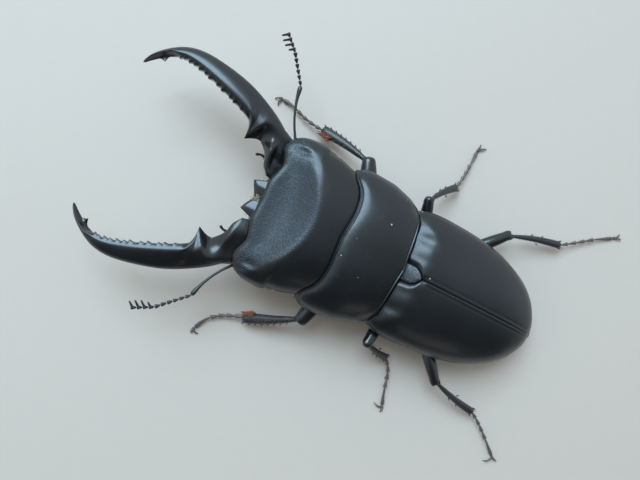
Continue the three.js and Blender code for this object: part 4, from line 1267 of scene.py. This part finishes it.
THIGH = ((0, 0.2), (0.015, 0.5), (0.05, 0.68), (0.09, 0.72), (0.13, 0.66), (0.17, 0.56),
         (0.22, 0.66), (0.3, 0.82), (0.42, 0.95), (0.55, 1), (0.68, 0.97), (0.8, 0.88),
         (0.88, 0.8), (0.94, 0.76), (0.98, 0.6), (1, 0.3))
KNEE_CHEEK = ((0, 0.3, 0.4), (0.15, 0.8, 1.1), (0.5, 0.95, 1.5), (0.8, 0.85, 1.3),
              (0.95, 0.55, 0.8), (1, 0.1, 0.1))
SHIN = ((0, 0.35), (0.03, 0.75), (0.07, 0.7), (0.11, 0.62), (0.16, 0.72), (0.25, 0.82),
        (0.38, 0.9), (0.52, 0.95), (0.66, 1), (0.8, 1), (0.9, 1), (0.96, 0.97), (1, 0.7))
FOOT_JOINT = ((0, 0.25), (0.04, 0.45), (0.25, 0.56), (0.55, 0.8), (0.8, 1.08), (0.95, 1.0),
              (1, 0.4))
LAST_JOINT = ((0, 0.25), (0.03, 0.45), (0.15, 0.55), (0.4, 0.66), (0.65, 0.86), (0.85, 1.12),
              (0.96, 0.98), (1, 0.45))
TOE_PAD = ((0, 0.2, 0.2), (0.1, 0.62, 0.6), (0.4, 0.8, 0.72), (0.75, 0.68, 0.6),
           (0.93, 0.4, 0.35), (1, 0.1, 0.1))
CLAW = ((0, 0.46, 0.5), (0.15, 0.46, 0.5), (0.35, 0.42, 0.44), (0.55, 0.36, 0.38),
        (0.75, 0.28, 0.3), (0.9, 0.19, 0.2), (1, 0.07, 0.07))
THIGH_SAG, SHIN_BOW, SHIN_OFFSET = 0.4, 0.35, 0.35
SHIN_WIDENING = 1.4             # how late along its length the shin widens

# Shares of the shin's length where its thorns stand.
FORE_THORNS, OTHER_THORNS, INNER_THORN = np.linspace(0.22, 0.86, 7), (0.42, 0.62), 0.52
FOOT_JOINTS, FOOT_FLATNESS = 4, 0.9
LAST_START = 0.62               # share of the foot's length where its last segment starts


def unit(vector):
    """A direction of length 1."""
    return vector / np.linalg.norm(vector)


def leg_of(name):
    """The sizes and the joints of a leg over the ground, its direction and its outward side."""
    pair, side = name.split("_")
    sign = 1 if side == "left" else -1
    hip, pose = HIPS[pair], STANCE[name]
    x, y, z = np.array(hip["start"]) * (1, sign, 1)
    start = np.array((y, -(x * COS - z * SIN), x * SIN + z * COS + TRUNK_HEIGHT))
    knee, ankle = np.array(pose["knee"]), np.array(pose["ankle"])
    along = unit(ankle - knee)
    outside = unit(np.cross(along, UP))
    if outside[0] * sign < 0:
        outside = -outside
    return SimpleNamespace(pair=pair, sign=sign, hip=hip, size=LIMBS[pair], pose=pose,
                           start=start, knee=knee, ankle=ankle, along=along, outside=outside)


def make_coxa(name):
    """The hip: an oval joint, sunk in the breast."""
    leg = leg_of(name)
    piece = start_piece(f"hip_{name}")
    centre = Vector(leg.hip["coxa"])
    centre.y *= leg.sign
    bpy.ops.mesh.primitive_uv_sphere_add(segments=36, ring_count=20, radius=1, location=centre,
                                         scale=leg.hip["radii"])
    finish_piece(piece, [f"coxa_{name}"], finish_of("thigh_shell"), TRUNK)


def make_femur(name):
    """The thigh: a narrow trochanter, a swollen middle and two cheeks around the knee."""
    leg = leg_of(name)
    width, depth = leg.size["femur"]
    way = unit(leg.knee - leg.start)
    end = leg.knee + way * leg.size["knee"] * 0.42
    path = [lerp(leg.start, end, t) + (0, 0, THIGH_SAG * math.sin(t * math.pi))
            for t in BEND_STOPS]
    piece = start_piece(f"thigh_{name}")
    extrude_limb(piece, route(path), THIGH, (width, depth), sides=12)
    side = unit(np.cross(way, UP))
    for turn in (-1, 1):
        cheek = leg.knee + side * turn * width * 0.24
        path = (cheek - way * 1.2, cheek, cheek + way * 0.75 + leg.along * 0.45)
        extrude_limb(piece, route(path), KNEE_CHEEK)
    finish_piece(piece, [f"femur_{name}"], finish_of("thigh_shell"), GROUND,
                 levels=1)


def make_tibia(name):
    """The shin: widens to its end, toothed along its outer edge, with spurs at the end."""
    leg = leg_of(name)
    along, outside, fore = leg.along, leg.outside, leg.pair == "fore"
    narrow, wide = leg.size["tibia"]
    start = leg.knee + along * SHIN_OFFSET
    run = leg.ankle - start
    piece = start_piece(f"shin_{name}")
    stops, shares = np.array(SHIN).T
    breadth = lerp(narrow, wide, stops ** SHIN_WIDENING) * shares
    depth = lerp(narrow, leg.size["flat"], stops) * shares
    bow = SHIN_BOW * np.sin(stops * np.pi)[:, None] * outside
    extrude_rings(piece, ring_set(start + run * stops[:, None] + bow, breadth, depth, UP, 12))
    for at in FORE_THORNS if fore else OTHER_THORNS:
        half = lerp(narrow, wide, at ** SHIN_WIDENING) * 0.36
        edge = start + run * at + outside * (SHIN_BOW * math.sin(at * math.pi) + half)
        big = lerp(0.55, 1.05, at) if fore else 0.8
        extrude_thorn(piece, edge - along * 0.1, edge + outside * 0.62 * big + along * 0.62 * big,
                      0.3 * big, lean=outside * 0.35)
    if not fore:
        edge = start + run * INNER_THORN - outside * (narrow * 0.42)
        extrude_thorn(piece, edge, edge - outside * 0.5 + along * 0.5, 0.22)
    for way, out, on in ((outside, 0.62, 0.75), (-outside, 0.42, 0.85)):
        root = start + run * 0.94 + way * wide * 0.27
        extrude_thorn(piece, root, root + way * out + along * (on + 0.35), 0.36, lean=way * 0.3)
    root = leg.ankle - along * 0.35 - outside * wide * 0.18
    extrude_thorn(piece, root, root + along * 1.5 - outside * 0.25 + np.array((0, 0, -0.3)), 0.16)
    finish_piece(piece, [f"tibia_{name}"], finish_of("shin_shell"), GROUND,
                 levels=1)


def foot_path(leg):
    """The path of a foot from inside the end of the shin to the toe."""
    return route([leg.ankle - leg.along * 0.3, *leg.pose["foot"]])


def part_of(path, start, end):
    """A stretch of a path, as a path of its own."""
    return lambda stops: path(lerp(start, end, stops))


def make_tarsus(name):
    """Four short trumpet-shaped segments, then a long club-shaped one that carries the claws."""
    leg = leg_of(name)
    wide = leg.size["tarsus"]
    path = foot_path(leg)
    piece = start_piece(f"foot_{name}")
    joints = np.linspace(0, LAST_START, FOOT_JOINTS + 1)
    for a, b in zip(joints, joints[1:]):
        extrude_limb(piece, part_of(path, a, b + 0.012), FOOT_JOINT, (wide, wide * FOOT_FLATNESS))
        edge = path(lerp(a, b, 0.93))
        way = unit(path(b) - path(a))
        side = unit(np.cross(way, UP))
        for turn in (-1, 1):
            root = edge + side * turn * wide * 0.36 - np.array((0, 0, 0.15))
            extrude_thorn(piece, root, root + way * 0.42 + side * turn * 0.22, 0.11)
    extrude_limb(piece, part_of(path, LAST_START, 1.0), LAST_JOINT, wide)
    finish_piece(piece, [f"tarsus_{name}"], finish_of("foot_shell"), GROUND,
                 levels=1)


def make_claws(name):
    """Two hooked claws, with a small bristled pad between them."""
    leg = leg_of(name)
    before, toe = np.array(leg.pose["foot"][-2:])
    ahead = unit((toe - before) * (1, 1, 0))
    piece = start_piece(f"claw_pair_{name}")
    root = toe + ahead * 0.1
    extrude_limb(piece, route((root, root + ahead * 0.75)), TOE_PAD)
    for x, y in leg.pose["claws"]:
        tip = np.array((x, y, CLAW_TIP_HEIGHT))
        begin = root + ahead * 0.3
        middle = lerp(begin, tip, 0.55) + ahead * 0.28 + np.array((0, 0, 0.42))
        extrude_limb(piece, route((begin, middle, tip)), CLAW, sides=8)
    for turn in (-0.12, 0.12):
        side = np.array((-ahead[1], ahead[0], 0)) * turn
        extrude_thorn(piece, root + ahead * 0.5 + side, root + ahead * 1.25 + side * 3, 0.06)
    finish_piece(piece, [f"claws_{name}"], finish_of("foot_shell"), GROUND,
                 levels=1)


# ---------------------------------------------------------------- hairs

PATCH = 0.003                   # width of a hair's patch on the map of its skin
HAIR_STOPS = ((0, 1), (0.4, 0.85), (0.75, 0.55))
STRAIGHT = np.zeros(3)
BRUSH_COUNT, NOTCH_COUNT, LIP_COUNT, CHIN_COUNT = 380, 260, 110, 220
COLLAR_COUNT, SHIN_COUNT, SOLE_COUNT = 900, 150, 170


def make_hairs(name, hairs, material, place):
    """Hairs as fine three-sided spikes: each has a root, reach, droop, width and map place."""
    points, faces, along, spots = [], [], [], []
    for root, reach, droop, width, spot in hairs:
        first = len(points)
        across = unit(np.cross(reach, (0.31, 0.27, 0.91)))
        other = unit(np.cross(reach, across))
        for stop, share in HAIR_STOPS:
            centre = root + reach * stop + droop * stop ** 2
            for k in range(3):
                turn = 2 * math.pi * k / 3
                rim = across * math.cos(turn) + other * math.sin(turn)
                points.append(centre + rim * width * share / 2)
                along.append(stop)
                spots.append((spot[0] + PATCH * k / 3, spot[1] + PATCH * stop))
        points.append(root + reach + droop)
        along.append(1)
        spots.append((spot[0] + PATCH / 2, spot[1] + PATCH))
        faces.append((first + 2, first + 1, first))
        for level in (first, first + 3):
            for k in range(3):
                after = (k + 1) % 3
                faces.append((level + k, level + after, level + 3 + after, level + 3 + k))
        faces += [(first + 6 + k, first + 6 + (k + 1) % 3, first + 9) for k in range(3)]
    mesh = bpy.data.meshes.new(name)
    mesh.from_pydata([tuple(p) for p in points], [], faces)
    piece = bpy.data.objects.new(name, mesh)
    bpy.context.scene.collection.objects.link(piece)
    mesh.attributes.new("along", "FLOAT", "POINT").data.foreach_set("value", along)
    corners = np.empty(len(mesh.loops), np.int32)
    mesh.loops.foreach_get("vertex_index", corners)
    skin = mesh.uv_layers.new(name="OFBake")
    skin.data.foreach_set("uv", np.array(spots, np.float32)[corners].ravel())
    return finish_piece(piece, [], finish_of(material), place)


def scattered(count, seed):
    """Random numbers that are the same on each run: three columns from 0 to 1, three even ones."""
    draw = np.random.default_rng(seed)
    return np.hstack([draw.random((count, 3)), draw.normal(size=(count, 3))])


def make_brushes():
    """The dense orange brush inside the end of each fore shin."""
    long = bpy.context.scene.beetle_sizes.brush_length / MM
    for name, seed in (("fore_left", 11), ("fore_right", 12)):
        leg = leg_of(name)
        hairs = []
        for a, b, c, *sway in scattered(BRUSH_COUNT, seed):
            at = 0.76 + 0.21 * a
            turn = lerp(-1.1, 1.1, b)
            skin = -leg.outside * math.cos(turn) + np.array((0, 0, 1)) * math.sin(turn)
            root = leg.knee + (leg.ankle - leg.knee) * at + skin * leg.size["tibia"][1] * 0.34
            way = unit(leg.along * 0.95 + skin * 0.7 + np.array(sway) * 0.2)
            reach = way * long * (0.4 + 0.6 * c) * (1.2 - 0.6 * a)
            spot = (0.05 + 0.9 * at, 0.5 + turn * 0.15)
            hairs.append((root, reach, leg.along * 0.25, 0.045, spot))
        make_hairs(f"shin_brush_{name}", hairs, "brush_hair", GROUND)


def make_mouth_hairs():
    """Pale hairs in the notch of the clypeus, on its lip, and a fringe under the front edge."""
    hairs = []
    for a, b, c, *sway in scattered(NOTCH_COUNT, 21):
        y = lerp(-1.5, 1.5, a)
        root = np.array((31.1 + 0.4 * abs(y) - 0.3 * b, y, -0.75 - 0.4 * b))
        way = unit(np.array((1, 0.25 * y, 0.1 - 0.4 * b)) + np.array(sway) * 0.22)
        spot = (0.5 + y * 0.1, 0.05 + 0.1 * b)
        hairs.append((root, way * (0.5 + 0.5 * c), np.array((0, 0, -0.15)), 0.045, spot))
    for a, b, c, *sway in scattered(LIP_COUNT, 23):
        root = np.array((lerp(30.1, 31, b), lerp(-0.6, 0.6, a), 0.55 - 0.25 * b))
        way = unit(np.array((0.8, 0.5 * (a - 0.5), 0.55)) + np.array(sway) * 0.25)
        spot = (0.5 + a * 0.1, 0.5 + b * 0.1)
        hairs.append((root, way * (0.3 + 0.35 * c), STRAIGHT, 0.06, spot))
    for a, b, c, *sway in scattered(CHIN_COUNT, 22):
        y = lerp(-3.6, 3.6, a)
        root = np.array((31.0, y, -1.7 - 0.2 * b))
        way = unit(np.array((1, 0.1 * y, -0.7)) + np.array(sway) * 0.2)
        spot = (0.5 + y * 0.1, 0.3 + 0.1 * b)
        hairs.append((root, way * (0.7 + 0.6 * c), np.array((0, 0, -0.2)), 0.04, spot))
    make_hairs("mouth_hairs", hairs, "gold_hair", TRUNK)


def make_collar_hairs():
    """A golden fringe where the head meets the fore breast, thickest at the sides."""
    hairs = []
    for a, b, c, *sway in scattered(COLLAR_COUNT, 31):
        y = math.copysign(lerp(7.5, 13.6, math.sqrt(b)), a - 0.5)
        x = float(pronotum_front(abs(y))) - 0.35
        root = np.array((x - 0.2 * c, y, -1.1 - 2.4 * abs(sway[0]) * (1 - abs(y) / 15)))
        way = unit(np.array((1, 0.35 * y / 13, -0.25)) + np.array(sway) * 0.18)
        spot = (0.5 + y * 0.03, 0.1 + 0.2 * c)
        hairs.append((root, way * (0.55 + 0.5 * c), np.array((0, 0, -0.12)), 0.045, spot))
    make_hairs("collar_hairs", hairs, "gold_hair", TRUNK)


def shin_bristles(leg, seed):
    """Short bristles all around the shin."""
    narrow, wide = leg.size["tibia"]
    along, outside = leg.along, leg.outside
    lift = unit(np.cross(outside, along))
    for a, b, c, *sway in scattered(SHIN_COUNT, seed):
        at = 0.12 + 0.84 * a
        turn = 2 * math.pi * b
        skin = outside * math.cos(turn) + lift * math.sin(turn)
        breadth = lerp(narrow, wide, at ** SHIN_WIDENING) * 0.44
        depth = lerp(narrow, leg.size["flat"], at) * 0.44
        root = leg.knee + along * SHIN_OFFSET
        root = root + (leg.ankle - leg.knee - along * SHIN_OFFSET) * at
        bow = SHIN_BOW * math.sin(at * math.pi)
        root = root + outside * (math.cos(turn) * breadth + bow)
        root = root + lift * math.sin(turn) * depth
        way = unit(along + skin * 0.55 + np.array(sway) * 0.1)
        spot = (0.05 + 0.4 * at, 0.05 + 0.9 * b)
        yield root, way * (0.3 + 0.35 * c), along * 0.05, 0.035, spot


def sole_bristles(leg, seed):
    """Tufts under the end of each of the foot's short segments."""
    path = foot_path(leg)
    wide = leg.size["tarsus"]
    for a, b, c, i, *_ in scattered(SOLE_COUNT, seed):
        joint = int(a * FOOT_JOINTS)
        at = LAST_START / FOOT_JOINTS * (joint + 0.6 + 0.36 * b)
        here, beyond = path(np.array((at, at + 0.02)))
        way = unit(beyond - here)
        side = unit(np.cross(way, UP)) * np.clip(i, -1.5, 1.5)
        root = here + side * wide * 0.24 - np.array((0, 0, wide * 0.3))
        reach = unit(way + side * 0.3 + np.array((0, 0, -0.45))) * (0.25 + 0.3 * c)
        reach[2] = max(reach[2], 0.02 - root[2])
        yield root, reach, STRAIGHT, 0.035, (0.55 + 0.4 * at, 0.5 + 0.1 * i)


def make_bristles(name):
    """Short bristles along a leg's shin and under its foot."""
    leg = leg_of(name)
    seed = 40 + sorted(STANCE).index(name)
    hairs = [*shin_bristles(leg, seed), *sole_bristles(leg, seed + 10)]
    material = "dark_bristle" if leg.pair != "fore" else "gold_hair"
    make_hairs(f"bristles_{name}", hairs, material, GROUND)


# ---------------------------------------------------------------- stage

WINDOW_SIDE = (-0.42, -0.44, 0.79)
ROOM_SIDE = (0.75, 0.6, 0.4)
SKY_SIDE = (-1, -0.1, 0)
SKY_EDGE = (-0.2, 0.25)
FRONT_SIDE = (-0.35, -0.94, 0)
FRONT_EDGE = (-0.05, 0.6)
WINDOW_AWAY, WINDOW_SIZE = 0.6, (0.34, 0.36)
ROOM_AWAY, ROOM_SIZE, ROOM_COLOUR = 0.8, (0.3, 0.3), (1, 0.93, 0.85)
FLOOR_SIZE, FLOOR_GRAIN, FLOOR_ROUGHNESS = 6, 400.0, 0.75
CAMERA_PLACE = (7.603, -22.258, 114.599)
CAMERA_TURN = (-0.7243, -6.8628, 116.2895)
SENSOR_WIDTH, CLIP_START, CLIP_END = 36, 0.005, 20


def add_light(name, towards, away, size, energy, rgb):
    """An area light that shines at the beetle from a direction."""
    bpy.ops.object.light_add(type="AREA")
    lamp = bpy.context.object
    lamp.name = name
    lamp.location = Vector(towards).normalized() * away
    lamp.rotation_euler = lamp.location.to_track_quat("Z", "Y").to_euler()
    lamp.data.shape = "RECTANGLE"
    lamp.data.size, lamp.data.size_y = size
    lamp.data.energy = energy
    lamp.data.color = rgb


def floor_material(rgb):
    """A pale matt floor with a faint grain."""
    material, tree, shader, where = new_material("pale_floor")
    grain = add_node(tree, "ShaderNodeTexNoise", {"Vector": where, "Scale": FLOOR_GRAIN})
    tree.links.new(mix(tree, grain.outputs["Fac"], colour(rgb, 0.97), colour(rgb)),
                   shader.inputs["Base Color"])
    shader.inputs["Roughness"].default_value = FLOOR_ROUGHNESS
    return material


def make_sky(studio):
    """Soft light from all around, brighter on the side of the window."""
    world = bpy.data.worlds.new("studio")
    bpy.context.scene.world = world
    world.use_nodes = True
    tree = world.node_tree
    sky = tree.nodes["Background"]
    way = add_node(tree, "ShaderNodeTexCoord").outputs["Generated"]
    side = add_node(tree, "ShaderNodeVectorMath", {0: way, 1: SKY_SIDE}, operation="DOT_PRODUCT")
    ahead = add_node(tree, "ShaderNodeVectorMath", {0: way, 1: FRONT_SIDE},
                     operation="DOT_PRODUCT")
    lit = mix(tree, ramp(tree, side.outputs["Value"], *SKY_EDGE), colour(studio.shade),
              colour(studio.sky))
    front = mix(tree, ramp(tree, ahead.outputs["Value"], *FRONT_EDGE), lit, colour(studio.front))
    tree.links.new(front, sky.inputs["Color"])
    sky.inputs["Strength"].default_value = studio.sky_strength


def make_stage():
    """The floor, the light from all around, two lamps and the camera."""
    studio = bpy.context.scene.beetle_studio
    bpy.ops.object.select_all(action="DESELECT")
    bpy.ops.mesh.primitive_plane_add(size=FLOOR_SIZE)
    floor = bpy.context.object
    floor.name = "studio_floor"
    floor.data.materials.append(floor_material(studio.floor))
    make_sky(studio)
    add_light("window", WINDOW_SIDE, WINDOW_AWAY, WINDOW_SIZE, studio.window_power,
              studio.window_colour)
    add_light("room", ROOM_SIDE, ROOM_AWAY, ROOM_SIZE, studio.room_power, ROOM_COLOUR)
    bpy.ops.object.camera_add(location=Vector(CAMERA_PLACE) * MM,
                              rotation=[math.radians(a) for a in CAMERA_TURN])
    camera = bpy.context.object
    camera.data.lens = studio.lens
    camera.data.sensor_width = SENSOR_WIDTH
    camera.data.clip_start = CLIP_START
    camera.data.clip_end = CLIP_END
    bpy.context.scene.camera = camera
    bpy.context.scene.view_settings.view_transform = "Standard"


# ---------------------------------------------------------------- settings


def length(name, description, default, most=0.01):
    """A size that a user can change."""
    return FloatProperty(name=name, description=description, default=default, min=0, max=most,
                         subtype="DISTANCE", unit="LENGTH", precision=6)


def tint(name, description, default):
    """A colour that a user can change."""
    return FloatVectorProperty(name=name, description=description, default=default,
                               subtype="COLOR", size=3, min=0, max=1)


class BeetleSizes(bpy.types.PropertyGroup):
    """Sizes of the fine relief and of the brushes"""

    bead_height: length("Bead height", "Height of the fine raised line along plate margins",
                        0.00017)
    denticle_reach: length("Denticle reach", "How far the small jaw teeth stand out", 0.00048)
    bump_height: length("Pit depth", "Depth of the punctures in the shell", 0.000012)
    brush_length: length("Brush length", "Length of the orange brushes on the fore shins",
                         0.0011)


class BeetleColours(bpy.types.PropertyGroup):
    """Tones of the shell and of the hairs"""

    shell: tint("Shell", "Darkest tone of the black plates", (0.0058, 0.0062, 0.007))
    shell_light: tint("Shell, worn", "Lightest tone of the black plates", (0.010, 0.011, 0.0125))
    # A painted sheen: this pale blue on the granule tips stands for the cool light that they
    # reflect, not for a tone of the shell.
    granule: tint("Granules", "Tone of the worn tips of the granules", (0.05, 0.1, 0.16))
    limb: tint("Shins", "Darker tone of shins, feelers and palps", (0.012, 0.0105, 0.0115))
    limb_light: tint("Shins, worn", "Lighter tone of shins and feelers", (0.03, 0.026, 0.028))
    foot: tint("Feet", "Darker tone of feet and claws", (0.01, 0.0075, 0.0065))
    foot_light: tint("Feet, worn", "Lighter tone of feet and claws", (0.026, 0.018, 0.015))
    eye: tint("Eyes", "Tone of the eyes", (0.006, 0.005, 0.006))
    brush: tint("Brush", "Root colour of the brushes on the fore shins", (0.2, 0.05, 0.018))
    brush_tip: tint("Brush tips", "Tip colour of the brushes", (0.56, 0.2, 0.085))
    hair: tint("Hairs", "Root colour of the fringes", (0.3, 0.19, 0.09))
    hair_tip: tint("Hair tips", "Tip colour of the fringes", (0.75, 0.62, 0.44))


class BeetleStudio(bpy.types.PropertyGroup):
    """Colours and strengths of the floor, the lights and the lens"""

    floor: tint("Floor", "Colour of the floor", (0.66, 0.55, 0.47))
    sky: tint("Sky", "Colour of the light on the window's side", (0.68, 0.8, 0.88))
    front: tint("Front", "Colour of the light from ahead of the jaws", (0.8, 0.9, 0.95))
    shade: tint("Shade", "Colour of the light from the other side", (0.09, 0.09, 0.085))
    window_colour: tint("Window", "Colour of the main light", (0.53, 0.79, 1.0))
    sky_strength: FloatProperty(name="Sky strength", description="Light from all around",
                                default=1.0, min=0, max=5)
    window_power: FloatProperty(name="Window power", description="Power of the main light",
                                default=3.9, min=0, max=100, subtype="POWER", unit="POWER")
    room_power: FloatProperty(name="Room power", description="Power of the weaker back light",
                              default=0.15, min=0, max=100, subtype="POWER", unit="POWER")
    lens: FloatProperty(name="Lens", description="Focal length of the camera in millimetres",
                        default=29.95, min=10, max=200, subtype="DISTANCE_CAMERA")


# ---------------------------------------------------------------- operators

SETTINGS = (("beetle_sizes", BeetleSizes), ("beetle_colours", BeetleColours),
            ("beetle_studio", BeetleStudio))


def finished(step, *makers):
    """Run a step's modelling and raise an error if it left nothing behind or stopped midway."""
    before = len(bpy.data.objects)
    for make in makers:
        make()
    if len(bpy.data.objects) == before:
        raise RuntimeError(f"{step.bl_label} made nothing")
    if bpy.context.object and bpy.context.object.mode != "OBJECT":
        raise RuntimeError(f"{step.bl_label} was left in edit mode")
    return {"FINISHED"}


def on_legs(make):
    """The modelling of one leg's piece, for all six legs."""
    return lambda: [make(name) for name in STANCE]


class BEETLE_OT_stage(bpy.types.Operator):
    """Make the floor, the lights and the camera"""

    bl_idname = "beetle.stage"
    bl_label = "Stage"
    bl_options = {"REGISTER", "UNDO"}

    def execute(self, context):
        return finished(self, make_stage)


class BEETLE_OT_head(bpy.types.Operator):
    """Make the head, clypeus and chin plate"""

    bl_idname = "beetle.head"
    bl_label = "Head"
    bl_options = {"REGISTER", "UNDO"}

    def execute(self, context):
        return finished(self, make_head, make_clypeus, make_mentum)


class BEETLE_OT_eyes(bpy.types.Operator):
    """Make both eyes"""

    bl_idname = "beetle.eyes"
    bl_label = "Eyes"
    bl_options = {"REGISTER", "UNDO"}

    def execute(self, context):
        return finished(self, make_eyes)


class BEETLE_OT_jaws(bpy.types.Operator):
    """Make both toothed jaws"""

    bl_idname = "beetle.jaws"
    bl_label = "Jaws"
    bl_options = {"REGISTER", "UNDO"}

    def execute(self, context):
        return finished(self, make_jaws)


class BEETLE_OT_feelers(bpy.types.Operator):
    """Make both elbowed feelers"""

    bl_idname = "beetle.feelers"
    bl_label = "Feelers"
    bl_options = {"REGISTER", "UNDO"}

    def execute(self, context):
        return finished(self, make_feelers)


class BEETLE_OT_palps(bpy.types.Operator):
    """Make both jaw palps"""

    bl_idname = "beetle.palps"
    bl_label = "Palps"
    bl_options = {"REGISTER", "UNDO"}

    def execute(self, context):
        return finished(self, make_palps)


class BEETLE_OT_pronotum(bpy.types.Operator):
    """Make the shield behind the head and the fore breast"""

    bl_idname = "beetle.pronotum"
    bl_label = "Pronotum"
    bl_options = {"REGISTER", "UNDO"}

    def execute(self, context):
        return finished(self, make_pronotum, make_prosternum)


class BEETLE_OT_wing_cases(bpy.types.Operator):
    """Make both wing cases and the scutellum"""

    bl_idname = "beetle.wing_cases"
    bl_label = "Wing cases"
    bl_options = {"REGISTER", "UNDO"}

    def execute(self, context):
        return finished(self, make_elytra, make_scutellum)


class BEETLE_OT_underside(bpy.types.Operator):
    """Make the hind breast and the belly plates"""

    bl_idname = "beetle.underside"
    bl_label = "Underside"
    bl_options = {"REGISTER", "UNDO"}

    def execute(self, context):
        return finished(self, make_hind_thorax, make_abdomen)


class BEETLE_OT_hips(bpy.types.Operator):
    """Make the six hips"""

    bl_idname = "beetle.hips"
    bl_label = "Hips"
    bl_options = {"REGISTER", "UNDO"}

    def execute(self, context):
        return finished(self, on_legs(make_coxa))


class BEETLE_OT_thighs(bpy.types.Operator):
    """Make the six thighs"""

    bl_idname = "beetle.thighs"
    bl_label = "Thighs"
    bl_options = {"REGISTER", "UNDO"}

    def execute(self, context):
        return finished(self, on_legs(make_femur))


class BEETLE_OT_shins(bpy.types.Operator):
    """Make the six toothed shins"""

    bl_idname = "beetle.shins"
    bl_label = "Shins"
    bl_options = {"REGISTER", "UNDO"}

    def execute(self, context):
        return finished(self, on_legs(make_tibia))


class BEETLE_OT_feet(bpy.types.Operator):
    """Make the six jointed feet and their claws"""

    bl_idname = "beetle.feet"
    bl_label = "Feet"
    bl_options = {"REGISTER", "UNDO"}

    def execute(self, context):
        return finished(self, on_legs(make_tarsus), on_legs(make_claws))


class BEETLE_OT_hairs(bpy.types.Operator):
    """Make the brushes, fringes and bristles"""

    bl_idname = "beetle.hairs"
    bl_label = "Hairs"
    bl_options = {"REGISTER", "UNDO"}

    def execute(self, context):
        return finished(self, make_brushes, make_mouth_hairs,
                        make_collar_hairs, on_legs(make_bristles))


STEPS = (
    BEETLE_OT_stage, BEETLE_OT_head, BEETLE_OT_eyes, BEETLE_OT_jaws, BEETLE_OT_feelers,
    BEETLE_OT_palps, BEETLE_OT_pronotum, BEETLE_OT_wing_cases, BEETLE_OT_underside, BEETLE_OT_hips,
    BEETLE_OT_thighs, BEETLE_OT_shins, BEETLE_OT_feet, BEETLE_OT_hairs,
)


class BEETLE_PT_steps(bpy.types.Panel):
    """Sizes, colours and building steps of the beetle"""

    bl_label = "Stag Beetle"
    bl_idname = "BEETLE_PT_steps"
    bl_space_type = "VIEW_3D"
    bl_region_type = "UI"
    bl_category = "Stag Beetle"

    def draw(self, context):
        layout = self.layout
        for attribute, group in SETTINGS:
            box = layout.box()
            for name in group.__annotations__:
                box.prop(getattr(context.scene, attribute), name)
        for step_class in STEPS:
            layout.operator(step_class.bl_idname)


CLASSES = (BeetleSizes, BeetleColours, BeetleStudio, *STEPS, BEETLE_PT_steps)


def register():
    """Add the add-on's classes, and its settings on the scene."""
    for item in CLASSES:
        bpy.utils.register_class(item)
    for attribute, group in SETTINGS:
        setattr(bpy.types.Scene, attribute, PointerProperty(type=group))


def unregister():
    """Take the settings and the classes away again."""
    for attribute, _ in SETTINGS:
        delattr(bpy.types.Scene, attribute)
    for item in reversed(CLASSES):
        bpy.utils.unregister_class(item)


def main():
    """Build the whole beetle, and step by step."""
    register()
    for step_class in STEPS:
        getattr(bpy.ops.beetle, step_class.bl_idname.split(".")[1])()


if __name__ == "__main__":
    main()
